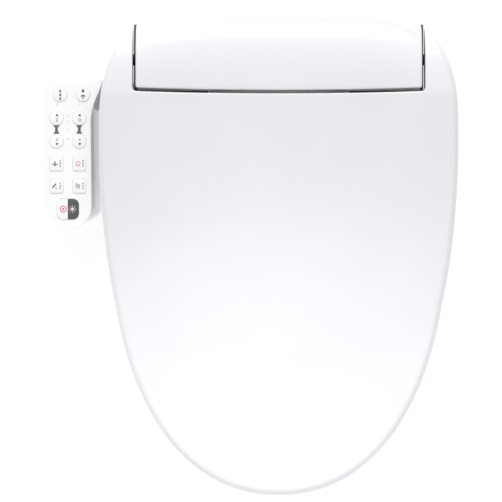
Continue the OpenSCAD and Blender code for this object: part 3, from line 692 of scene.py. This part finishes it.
def wallLayers(loop, normals, radii, dip):
    s = seatShape
    layers = [[(x, y, s["split"]) for x, y in loop]]
    for k in range(s["edgeSteps"] + 1):
        layer = []
        for (x, y), n, radius in zip(loop, normals, radii):
            reach, drop = edgeCurve(radius, s["edgeSteps"])[k]
            fall = dip * math.cos(k / s["edgeSteps"]) - drop
            layer.append((x + n.x * reach, y + n.y * reach, seatTop(y + n.y * reach) - fall))
        layers.append(layer)
    return layers


def seatOuterLoop():
    s = seatShape
    dense = evenSteps(outlineRight, 0.001)
    normals = [Vector((b[1] - a[1], a[0] - b[0])).normalized() for a, b in zip(dense, dense[2:])]
    inner = [(p[0] + n.x * s["inset"], p[1] + n.y * s["inset"]) for p, n in zip(dense[1:], normals)]
    inner = [p for p in inner if p[1] < s["rearY"] - 0.009 and p[0] > 0]
    right = [(0, plan["rear"] - plan["length"] + s["inset"])] + list(reversed(inner))
    corner = (right[-1][0] + 0.0004, s["rearY"])
    turn = roundTurn(right[-1], corner, (0, s["rearY"]), s["cornerRadius"], s["edgeSteps"])
    rear = evenSteps([turn[-1], (0, s["rearY"])], s["spacing"])
    half = polyLoop(evenSteps(right, s["spacing"]), turn, rear)
    return half + [(-x, y) for x, y in reversed(half[1:-1])]


def bridgeRings(piece, first, second, offset):
    bpy.ops.mesh.select_all(action="DESELECT")
    mesh = bmesh.from_edit_mesh(piece.data)
    mesh.verts.ensure_lookup_table()
    for ring, shift in ((first, 0), (second, offset)):
        for p, q in zip(ring, ring[1:] + ring[:1]):
            mesh.edges.get((mesh.verts[p + shift], mesh.verts[q + shift])).select_set(True)
    bmesh.update_edit_mesh(piece.data)
    bpy.ops.mesh.bridge_edge_loops()


def cutSnoutRoom(piece):
    s = seatShape
    bpy.ops.mesh.primitive_cube_add(size=1, location=(0, s["bridgeY"] / 2, s["bridgeZ"] / 2))
    room = bpy.context.object
    room.scale = (2 * s["bridgeHalf"], -s["bridgeY"], s["bridgeZ"])
    applyModifier(piece, "BOOLEAN", object=room, operation="DIFFERENCE", solver="EXACT")
    bpy.data.objects.remove(room)


def buildSeatArms():
    arms = copyNode("seat_top_shell")
    bpy.ops.object.mode_set(mode="EDIT")
    bpy.ops.mesh.select_all(action="SELECT")
    bpy.ops.mesh.bisect(plane_co=(0, seatShape["armCut"], 0), plane_no=(0, 1, 0), clear_inner=True,
                        use_fill=True)
    bpy.ops.object.mode_set(mode="OBJECT")
    softenEdges(arms, 0.0008, 2)
    tidyMesh(arms, 40)
    return arms


def buildSeatTop():
    s = seatShape
    loop = seatOuterLoop()
    radii = []
    for _, y in loop:
        share = 0 if y > s["rearY"] - 0.002 else min(1, (s["rearY"] - y) / s["blend"])
        radii.append(s["rearRadius"] + (s["outerRadius"] - s["rearRadius"]) * share)
    piece, outerFoot, outerTop = ringsPiece(wallLayers(loop, loopNormals(loop), radii, 0), False, False)
    bpy.ops.object.mode_set(mode="OBJECT")
    half = evenSteps(polyLoop([p for run in s["hole"] for p in bezierRun(run, 60)]), s["spacing"])
    hole = half + [(-x, y) for x, y in reversed(half[1:-1])]
    radii = [s["holeRadius"]] * len(hole)
    wall, holeFoot, holeTop = ringsPiece(wallLayers(hole, loopNormals(hole), radii, s["dip"]), False, False)
    bpy.ops.object.mode_set(mode="OBJECT")
    count = len(piece.data.vertices)
    joinPieces(piece, [wall])
    bpy.ops.object.mode_set(mode="EDIT")
    bridgeRings(piece, outerTop, holeTop, count)
    bridgeRings(piece, outerFoot, holeFoot, count)
    bpy.ops.object.mode_set(mode="OBJECT")
    tidyMesh(piece, 40)
    cutSnoutRoom(piece)
    joinPieces(piece, [buildSeatArms()])
    return finishPiece(piece, "seatRing", finish["shellGloss"], bodyOf("seat_top_shell"),
                       ["seat_top_shell"])


seatRing = buildSeatTop()
print("seat ring built:", len(seatRing.data.polygons), "faces")


# The rear cover of the housing, and a dark strip in the gap between it and the lid: painted shadow that
# stands in for the shade in the seam.

coverShape = {
    "half": 0.1509, "front": -0.041, "frontBow": 0.0026, "split": 0.040, "frontTop": 0.1072,
    "crown": ((0.048, 0.062), (0.048, 0.095), (0.015, 0.116), (-0.041, 0.1072)),
    "frontRadius": 0.0025, "endRadius": 0.0022, "endSteps": 6, "columns": 76,
}


def buildRearCover():
    s = coverShape
    y0, z1 = s["front"], s["frontTop"]
    turn = roundTurn((y0, s["split"]), (y0, z1), (y0 + 0.03, z1 + 0.004), s["frontRadius"], 6)
    crown = list(reversed(bezierRun(s["crown"], 48)))
    crown = [p for p in crown if p[0] > turn[-1][0] + 0.001]
    section = evenSteps([(y0, s["split"]), turn[0]], 0.008)[:-1] + list(turn) + crown
    section += evenSteps([crown[-1], (s["crown"][0][0], s["split"])], 0.006)[1:]
    rows = len(section)
    inner = s["half"] - s["endRadius"] - 0.0008
    xs = [-inner + 2 * inner * k / (s["columns"] - 1) for k in range(s["columns"])]
    spots = [(x, 0.0) for x in xs]
    for k in range(s["endSteps"] + 1):
        angle = math.pi / 2 * k / s["endSteps"]
        drop = s["endRadius"] * (1 - math.cos(angle))
        x = s["half"] - s["endRadius"] * (1 - math.sin(angle))
        spots = [(-x, drop)] + spots + [(x, drop)]
    tangents = []
    for k in range(rows):
        a, b = Vector(section[max(0, k - 1)]), Vector(section[min(rows - 1, k + 1)])
        t = (b - a).normalized()
        tangents.append(Vector((t.y, -t.x)))
    deselectAll()
    bpy.ops.mesh.primitive_grid_add(x_subdivisions=len(spots) - 1, y_subdivisions=rows - 1, size=0.2)
    piece = bpy.context.object
    for j in range(rows):
        for i, (x, drop) in enumerate(spots):
            y, z = section[j]
            y, z = y + tangents[j].x * drop, max(s["split"], z + tangents[j].y * drop)
            rearY = outlineRearY(abs(x)) - 0.0002
            bow = s["frontBow"] * (x / s["half"]) ** 2
            share = (y - y0) / (s["crown"][0][0] - y0)
            piece.data.vertices[j * len(spots) + i].co = (x, y0 + bow + share * (rearY - y0 - bow), z)
    pickOnly(piece)
    bpy.ops.object.mode_set(mode="EDIT")
    bpy.ops.mesh.select_mode(type="EDGE")
    for test in (lambda v: v.co.x > s["half"] - 0.00005, lambda v: v.co.x < -s["half"] + 0.00005):
        bpy.ops.mesh.select_all(action="DESELECT")
        mesh = bmesh.from_edit_mesh(piece.data)
        for edge in mesh.edges:
            if edge.is_boundary and all(test(v) for v in edge.verts):
                edge.select_set(True)
        bmesh.update_edit_mesh(piece.data)
        bpy.ops.mesh.edge_face_add()
    bpy.ops.mesh.select_all(action="DESELECT")
    bpy.ops.mesh.select_non_manifold()
    bpy.ops.mesh.edge_face_add()
    bpy.ops.object.mode_set(mode="OBJECT")
    tidyMesh(piece, 40)
    return finishPiece(piece, "rearCover", finish["shellGloss"], bodyOf("rear_cover"),
                       ["rear_cover"])


# The strip is a dark sheet put in the seam gap as painted shadow; it stops where the gap passes the nozzle
# snout.
seamShadowShape = {"inner": 0.1500, "outer": 0.1537, "frontY": (-0.0442, -0.0405), "rearY": 0.030,
             "z": (0.0490, 0.0520), "snoutHalf": 0.0745}


# Builds the dark strip that paints the seam's shadow along both sides of the cover and across its front.
def buildSeamShadowStrip():
    s = seamShadowShape
    sides = []
    for sign in (-1, 1):
        deselectAll()
        bpy.ops.mesh.primitive_plane_add(size=0.002, location=(0, 0, 0))
        strip = bpy.context.object
        x0, x1, y0, y1 = s["inner"], s["outer"], s["frontY"][0], s["frontY"][1]
        corners = ((s["snoutHalf"], y0), (x1, y0), (s["snoutHalf"], y1), (x1, y1))
        for vertex, (x, y) in zip(strip.data.vertices, corners):
            vertex.co = (x * sign, y, s["z"][0])
        pickOnly(strip)
        bpy.ops.object.mode_set(mode="EDIT")
        bpy.ops.mesh.select_mode(type="EDGE")
        bpy.ops.mesh.select_all(action="SELECT")
        bpy.ops.mesh.bisect(plane_co=(x0 * sign, 0, 0), plane_no=(1, 0, 0))
        bpy.ops.mesh.select_all(action="DESELECT")
        mesh = bmesh.from_edit_mesh(strip.data)
        for edge in mesh.edges:
            middle = (edge.verts[0].co + edge.verts[1].co) / 2
            if abs(middle.x) > x0 and abs(middle.y - y1) < 0.00001:
                edge.select_set(True)
        bmesh.update_edit_mesh(strip.data)
        bpy.ops.mesh.extrude_edges_move(TRANSFORM_OT_translate={"value": (0, s["rearY"] - y1, 0)})
        bpy.ops.mesh.select_all(action="SELECT")
        bpy.ops.mesh.extrude_region_move(TRANSFORM_OT_translate={"value": (0, 0, s["z"][1] - s["z"][0])})
        bpy.ops.object.mode_set(mode="OBJECT")
        tidyMesh(strip, 40)
        softenEdges(strip, 0.0008, 3)
        sides.append(strip)
    piece = joinPieces(sides[0], sides[1:])
    return finishPiece(piece, "seamSeal", finish["sealRubber"], bodyOf("rear_cover"))


rearCover = buildRearCover()
buildSeamShadowStrip()
print("rear cover built:", len(rearCover.data.polygons), "faces")


# CAD shapes with their edges softened.

softened = {   # node: name, finish, slot, edge radius
    "base_tray": ("baseTray", "satinWhite", "white_satin", 0.0006),
    "nozzle_snout": ("nozzleSnout", "satinWhite", "white_satin", 0.0012),
    "panel_case": ("panelCase", "panelGloss", "white_gloss", 0.0012),
    "seat_bottom_shell": ("seatUnderside", "shellGloss", "white_gloss", 0.0016),
    "mounting_bracket": ("mountingBracket", "greyPlastic", "grey_plastic", 0.0006),
    "release_button": ("releaseButton", "satinWhite", "white_satin", 0.0008),
    "release_rocker": ("releaseRocker", "greyPlastic", "grey_plastic", 0.0004),
    "release_latch": ("releaseLatch", "greyPlastic", "grey_plastic", 0.0004),
    "nozzle_carriage": ("nozzleCarriage", "satinWhite", "white_satin", 0.0005),
    "cord_gland": ("cordGland", "darkRubber", "rubber_dark", 0.0008),
    "seat_bumpers": ("seatBumpers", "greyRubber", "rubber_grey", 0.0014),
    "lid_bumpers": ("lidBumpers", "greyRubber", "rubber_grey", 0.0010),
    "base_feet": ("baseFeet", "darkRubber", "rubber_dark", 0.0010),
    "night_light": ("nightLight", "blueLens", "lens", 0.0008),
    "nozzle_wand": ("nozzleWand", "satinWhite", "white_satin", 0.0006),
}
keyNames = sorted(name for name in nodes if name.startswith("button_"))
keyCorner = {"square": 0.0024, "half": 0.0062, "grow": 0.0002}
rimCuts = [-0.13 - 0.03 * k for k in range(11)]   # the lower shell's long rims are cut into short faces here


def titleOf(node):
    return node.removeprefix("button_").title().replace("_", "")


def keyCornerSpots(node, reach):
    low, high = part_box(node)
    left, right = low.x - reach, high.x + reach
    ys = (low.y - reach, high.y + reach)
    if node == "button_stop":
        return [(keyCorner["half"], [(left, y) for y in ys])]
    if node == "button_light":
        return [(keyCorner["half"], [(right, y) for y in ys])]
    if node in ("button_seat", "button_power", "button_clean", "button_dry"):
        return [(keyCorner["square"], [(x, y) for x in (left, right) for y in ys])]
    return []


def growKey(piece, node):
    low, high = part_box(node)
    middle, size = (low + high) / 2, high - low
    for vertex in piece.data.vertices:
        vertex.co.x += keyCorner["grow"] * 2 * (vertex.co.x - middle.x) / size.x
        vertex.co.y += keyCorner["grow"] * 2 * (vertex.co.y - middle.y) / size.y


def roundCorners(piece, spots, reach, radius):
    pickOnly(piece)
    bpy.ops.object.mode_set(mode="EDIT")
    bpy.ops.mesh.select_mode(type="EDGE")
    bpy.ops.mesh.select_all(action="DESELECT")
    mesh = bmesh.from_edit_mesh(piece.data)
    for edge in mesh.edges:
        a, b = (v.co for v in edge.verts)
        upright = abs(a.x - b.x) < 0.00003 and abs(a.y - b.y) < 0.00003
        if upright and any(math.hypot(a.x - x, a.y - y) < reach for x, y in spots):
            edge.select_set(True)
    bmesh.update_edit_mesh(piece.data)
    bpy.ops.mesh.bevel(offset=radius, segments=7, clamp_overlap=True)
    bpy.ops.object.mode_set(mode="OBJECT")


def softenNode(node, name, material, slotName, radius):
    piece = copyNode(node)
    if node in keyNames:
        growKey(piece, node)
        for radiusHere, spots in keyCornerSpots(node, keyCorner["grow"]):
            roundCorners(piece, spots, 0.0006, radiusHere)
    softenEdges(piece, radius, 3)
    if node == "seat_bottom_shell":
        bpy.ops.object.mode_set(mode="EDIT")
        cutAcross(rimCuts)
        bpy.ops.mesh.select_all(action="SELECT")
        bpy.ops.mesh.bisect(plane_co=(0, 0, 0), plane_no=(1, 0, 0))
        bpy.ops.object.mode_set(mode="OBJECT")
    tidyMesh(piece, 40)
    return finishPiece(piece, name, finish[material], bodyOf(node), [node])


soft = {node: softenNode(node, *values) for node, values in softened.items()}
# The panel case's wall beside the lid leans out towards its foot.
caseDraft = {"reach": 0.009, "from": -0.206, "until": -0.180, "blend": 0.006, "start": -0.030, "run": 0.04}
caseLow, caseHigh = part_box("panel_case")
for vertex in soft["panel_case"].data.vertices:
    if vertex.co.x < caseDraft["until"]:
        side = min(1.0, max(0.0, (vertex.co.x - caseDraft["from"]) / caseDraft["blend"]))
        flare = min(1.0, max(0.0, (caseDraft["start"] - vertex.co.y) / caseDraft["run"]))
        depth = (caseHigh.z - vertex.co.z) / (caseHigh.z - caseLow.z)
        vertex.co.x += caseDraft["reach"] * side * flare * math.sin(depth * math.pi / 2)
for node in keyNames:
    dark = node == "button_light"
    soft[node] = softenNode(node, "key" + titleOf(node), "keyDark" if dark else "keyWhite",
                            "key_dark" if dark else "white_gloss", 0.0004)
print("softened pieces built:", len(soft))


# The control panel's cover and the printed marks.

panelShape = {"outerEdge": 0.0020, "holeEdge": 0.00018, "markHeight": 0.00008, "markSink": 0.00004}


def nodeCentre(name):
    low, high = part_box(name)
    return (low + high) / 2, high.z, (high - low)


def buildPanelCover():
    s = panelShape
    piece = copyNode("panel_cover")
    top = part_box("panel_cover")[1].z
    for name in keyNames:
        for radius, spots in keyCornerSpots(name, 0.00035):
            roundCorners(piece, spots, 0.0005, radius + 0.00015)
    rounds = []
    for name in keyNames:
        middle, _, size = nodeCentre(name)
        rounds.append((middle.x, middle.y, math.hypot(size.x, size.y) / 2 + 0.0004))
    bpy.ops.object.mode_set(mode="EDIT")
    bpy.ops.mesh.select_mode(type="EDGE")
    bpy.ops.mesh.select_all(action="DESELECT")
    mesh = bmesh.from_edit_mesh(piece.data)
    lamps = [(v.x, v.y) for v in lampCentres()]
    for edge in mesh.edges:
        a, b = (v.co for v in edge.verts)
        middle = (a + b) / 2
        if min(a.z, b.z) < top - 0.00005 or len(edge.link_faces) != 2:
            continue
        if abs(edge.link_faces[0].normal.z - edge.link_faces[1].normal.z) < 0.5:
            continue
        nearKey = any(math.hypot(middle.x - x, middle.y - y) < r for x, y, r in rounds)
        nearLamp = any(math.hypot(middle.x - x, middle.y - y) < 0.0016 for x, y in lamps)
        if not nearKey and not nearLamp:
            edge.select_set(True)
    bmesh.update_edit_mesh(piece.data)
    bpy.ops.mesh.bevel(offset=s["outerEdge"], segments=5, profile=0.5, clamp_overlap=True)
    bpy.ops.object.mode_set(mode="OBJECT")
    softenEdges(piece, s["holeEdge"], 2, 60)
    tidyMesh(piece, 40)
    return finishPiece(piece, "panelCover", finish["panelGloss"], bodyOf("panel_cover"),
                       ["panel_cover"])


def lampCentres():
    found = []
    for vertex in nodes["indicator_lenses"].data.vertices:
        spot = Vector((vertex.co.x, vertex.co.y))
        for group in found:
            if (group[0] - spot).length < 0.003:
                group.append(spot)
                break
        else:
            found.append([spot])
    return [sum(group, Vector((0, 0))) / len(group) for group in found]


def dot(x, y, r, count=20):
    return [(x + r * math.cos(2 * math.pi * k / count), y + r * math.sin(2 * math.pi * k / count))
            for k in range(count)]


def bar(x, y, w, h, turn=0.0):
    r = min(w, h) / 2
    points = []
    for k in range(24):
        a = 2 * math.pi * (k + 0.5) / 24
        points.append(((w / 2 - r) * (1 if math.cos(a) > 0 else -1) + r * math.cos(a),
                       (h / 2 - r) * (1 if math.sin(a) > 0 else -1) + r * math.sin(a)))
    c, s = math.cos(turn), math.sin(turn)
    return [(x + px * c - py * s, y + px * s + py * c) for px, py in points]


def wedge(x, y, w, h):
    return [(x - w / 2, y - h / 2), (x + w / 2, y - h / 2), (x, y + h / 2)]


def band(x, y, inner, outer, start, end, count=24):
    angles = [math.radians(start + (end - start) * k / count) for k in range(count + 1)]
    return ([(x + outer * math.cos(a), y + outer * math.sin(a)) for a in angles]
            + [(x + inner * math.cos(a), y + inner * math.sin(a)) for a in reversed(angles)])


def drop(x, y, r):
    angles = [math.radians(150 + 240 * k / 16) for k in range(17)]
    return [(x + r * math.cos(a), y + r * math.sin(a)) for a in angles] + [(x, y + r * 2.3)]


def waist(w, h, neck, count=10):
    side = [(neck / 2 + (w - neck) / 2 * (2 * k / count - 1) ** 2, h / 2 - h * k / count)
            for k in range(count + 1)]
    return side + [(-px, py) for px, py in reversed(side)]


def ripple(x, y, length, height, thick, count=16):
    line = [(x - length / 2 + length * k / count, y + height * math.sin(2 * math.pi * k / count))
            for k in range(count + 1)]
    return [(px, py - thick / 2) for px, py in line] + [(px, py + thick / 2) for px, py in reversed(line)]


wordBar = [bar(4.0, -2.7, 1.1, 1.9), bar(4.0, 0, 1.1, 2.3), bar(4.0, 2.7, 1.1, 1.9)]
upWedge = wedge(0.6, 3.3, 3.1, 2.8)
downWedge = [(x, -y) for x, y in wedge(0.6, 3.5, 3.1, 2.8)][::-1]
rays = [bar(-0.9 + 3.3 * math.cos(a), 3.3 * math.sin(a), 1.6, 0.7, a)
        for a in (math.pi / 4 * k for k in range(8))]
marks = {   # key: list of (ink, outlines in millimetres from the key's centre)
    "button_rear": [("inkGrey", [drop(0.1, 3.4 - 4.1 * k, 1.15) for k in range(3)])],
    "button_front": [("inkBlack", [drop(0.1, 3.4, 1.3), band(0.1, -3.0, 1.5, 2.6, 20, 160),
                                   bar(0.1, -3.4, 1.2, 3.0)])],
    "button_temp_up": [("inkBlack", [upWedge]),
                       ("inkGrey", [bar(0.6, -0.9 - 1.4 * k, 2.0, 0.7) for k in range(3)])],
    "button_force_up": [("inkBlack", [upWedge]), ("inkGrey", [band(0.6, -2.0, 1.0, 1.6, 0, 360)])],
    "button_temp_down": [("inkBlack", [downWedge]),
                         ("inkGrey", [bar(0.6, 0.6, 2.0, 0.8), bar(0.6, 2.2, 2.0, 0.8)])],
    "button_force_down": [("inkBlack", [downWedge]), ("inkGrey", [dot(0.6, 1.4, 0.9)])],
    "button_seat": [("inkBlack", [wedge(-1.6, 1.5, 2.0, 3.4), bar(-1.6, -1.0, 6.2, 0.8),
                                  dot(-1.6, -2.3, 0.8)]), ("inkGrey", wordBar)],
    "button_power": [("inkPink", [band(-1.4, 0, 1.9, 2.6, -235, 55), bar(-1.4, 1.9, 0.75, 2.6)]),
                     ("inkBlack", wordBar)],
    "button_clean": [("inkGrey", [bar(-2.2, 0.3, 1.5, 5.4, -0.75), dot(-0.4, -2.4, 0.7),
                                  dot(-3.9, -1.8, 0.6)] + wordBar)],
    "button_dry": [("inkGrey", [ripple(-1.6, 1.6 - 1.6 * k, 4.6, 0.7, 0.8) for k in range(3)] + wordBar)],
    "button_stop": [("inkPink", [band(0.9, 0, 2.7, 3.7, 0, 360), bar(0.9, 0, 2.3, 2.3)])],
    "button_light": [("inkWhite", [dot(-0.9, 0, 1.7)] + rays)],
}


def stampMark(name, outlines, middle, height, ink, body):
    s = panelShape
    parts = []
    for outline in outlines:
        deselectAll()
        bpy.ops.mesh.primitive_circle_add(vertices=len(outline), radius=0.001, fill_type="NGON")
        part = bpy.context.object
        for vertex, (x, y) in zip(part.data.vertices, outline):
            vertex.co = (middle.x + x * mm, middle.y + y * mm, height - s["markSink"])
        bpy.ops.object.mode_set(mode="EDIT")
        bpy.ops.mesh.select_all(action="SELECT")
        rise = s["markHeight"] + s["markSink"]
        bpy.ops.mesh.extrude_region_move(TRANSFORM_OT_translate={"value": (0, 0, rise)})
        bpy.ops.mesh.select_all(action="SELECT")
        bpy.ops.mesh.normals_make_consistent(inside=False)
        bpy.ops.object.mode_set(mode="OBJECT")
        parts.append(part)
    piece = joinPieces(parts[0], parts[1:]) if len(parts) > 1 else parts[0]
    return finishPiece(piece, name, finish[ink], body)


buildPanelCover()
for node, layersOfInk in marks.items():
    middle, top, _ = nodeCentre(node)
    for k, (ink, outlines) in enumerate(layersOfInk):
        stampMark("mark" + titleOf(node) + str(k + 1), outlines, middle, top, ink, bodyOf(node))
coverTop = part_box("panel_cover")[1].z
for side, (upper, lower) in {"Temp": ("button_temp_up", "button_temp_down"),
                             "Force": ("button_force_up", "button_force_down")}.items():
    between = (nodeCentre(upper)[0] + nodeCentre(lower)[0]) / 2
    stampMark("levelMark" + side, [waist(7.0, 9.0, 2.8)], between, coverTop, "inkGrey", bodyOf("panel_cover"))
print("panel cover and marks built")


# Finishes of the CAD nodes that stay.

plainNodes = {   # finish: the nodes that wear it
    "steel": ["case_screws", "water_inlet", "feed_screw", "nozzle_motor", "fan_motor", "dryer_heater"],
    "heaterFilm": ["seat_heater"],
    "circuitBoard": ["seat_sensor", "main_board", "panel_board"],
    "greyPlastic": ["inlet_filter", "valve_body"],
    "copperWinding": ["solenoid_coil"],
    "satinWhite": ["heater_tank", "tank_lid", "nozzle_cradle", "nozzle_tip", "dryer_grille"],
    "darkRubber": ["water_hose", "panel_harness"],
    "darkPlastic": ["fan_housing", "fan_impeller", "dryer_duct", "board_parts", "panel_switches",
                    "seat_damper", "lid_damper"],
    "lampLens": ["indicator_lenses"],
}
for label, names in plainNodes.items():
    for name in names:
        shown = nodes[name]
        if not shown.material_slots:
            shown.data.materials.append(finish[label])
        for spot in shown.material_slots:
            spot.material = finish[label]
print("node finishes set:", sum(len(names) for names in plainNodes.values()))


# Floor, light and camera.

studio = {
    "floorSize": 6.0, "floorTone": 0.30, "floorGlow": 0.75, "skyTop": 0.95, "skyEdge": 0.22, "skyRise": 0.75,
    "camera": (-0.0293, -0.2106, 6.0), "lens": 401.5, "sensor": 36,
    "sunFrom": (-0.12, 0.86, 0.5), "sunPower": 1.35, "sunSoftness": 40,
    "spotFrom": (0.0, -0.40, 1.8), "spotAt": (0.0, -0.42, 0.05), "spotPower": 29, "spotAngle": 22,
}


def buildFloor():
    s = studio
    deselectAll()
    bpy.ops.mesh.primitive_plane_add(size=s["floorSize"], location=(0, 0, cadLow.z - 0.0002))
    floor = bpy.context.object
    freezePlace(floor)
    floor.name = "paleFloor"
    material, _, shader = newMaterial("paleFloor", (0.9, 0.9, 0.9))
    shader.inputs["Base Color"].default_value = (*[s["floorTone"]] * 3, 1)
    shader.inputs["Roughness"].default_value = 0.9
    shader.inputs["Emission Color"].default_value = (1, 1, 1, 1)
    shader.inputs["Emission Strength"].default_value = s["floorGlow"]
    floor.data.materials.append(material)


def hangLamp(light, spot, target):
    lamp = bpy.data.objects.new(light.name, light)
    lamp.location = spot
    lamp.rotation_euler = (Vector(target) - Vector(spot)).to_track_quat("-Z", "Y").to_euler()
    bpy.context.scene.collection.objects.link(lamp)
    return lamp


def buildLamps():
    s = studio
    sun = bpy.data.lights.new("rearSun", "SUN")
    sun.energy, sun.angle = s["sunPower"], math.radians(s["sunSoftness"])
    hangLamp(sun, s["sunFrom"], (0, 0, 0))
    spot = bpy.data.lights.new("frontSpot", "SPOT")
    spot.energy, spot.spot_size, spot.spot_blend = s["spotPower"], math.radians(s["spotAngle"]), 1.0
    spot.shadow_soft_size = 0.1
    lamp = hangLamp(spot, s["spotFrom"], s["spotAt"])
    lamp.visible_camera = lamp.visible_glossy = False


def buildSky():
    s = studio
    world = bpy.data.worlds.new("studioWorld")
    bpy.context.scene.world = world
    world.use_nodes = True
    sky = world.node_tree
    background = sky.nodes["Background"]
    background.inputs["Color"].default_value = (0.975, 0.982, 1.0, 1)
    coords = place(sky, "ShaderNodeTexCoord", -900, 0)
    parts = place(sky, "ShaderNodeSeparateXYZ", -700, 0)
    rise = place(sky, "ShaderNodeMapRange", -500, 0)
    for label, value in (("From Min", 0.0), ("From Max", s["skyRise"]), ("To Min", s["skyEdge"]),
                         ("To Max", s["skyTop"])):
        rise.inputs[label].default_value = value
    sky.links.new(coords.outputs["Generated"], parts.inputs["Vector"])
    sky.links.new(parts.outputs["Z"], rise.inputs["Value"])
    sky.links.new(rise.outputs["Result"], background.inputs["Strength"])


def addCamera():
    camera = bpy.data.objects.new("topCamera", bpy.data.cameras.new("topCamera"))
    camera.data.lens = studio["lens"]
    camera.data.sensor_width = studio["sensor"]
    camera.data.clip_start = 0.01
    camera.location = studio["camera"]
    bpy.context.scene.collection.objects.link(camera)
    bpy.context.scene.camera = camera


buildFloor()
buildLamps()
buildSky()
addCamera()
bpy.context.scene.view_settings.view_transform = "Standard"
print("studio ready")
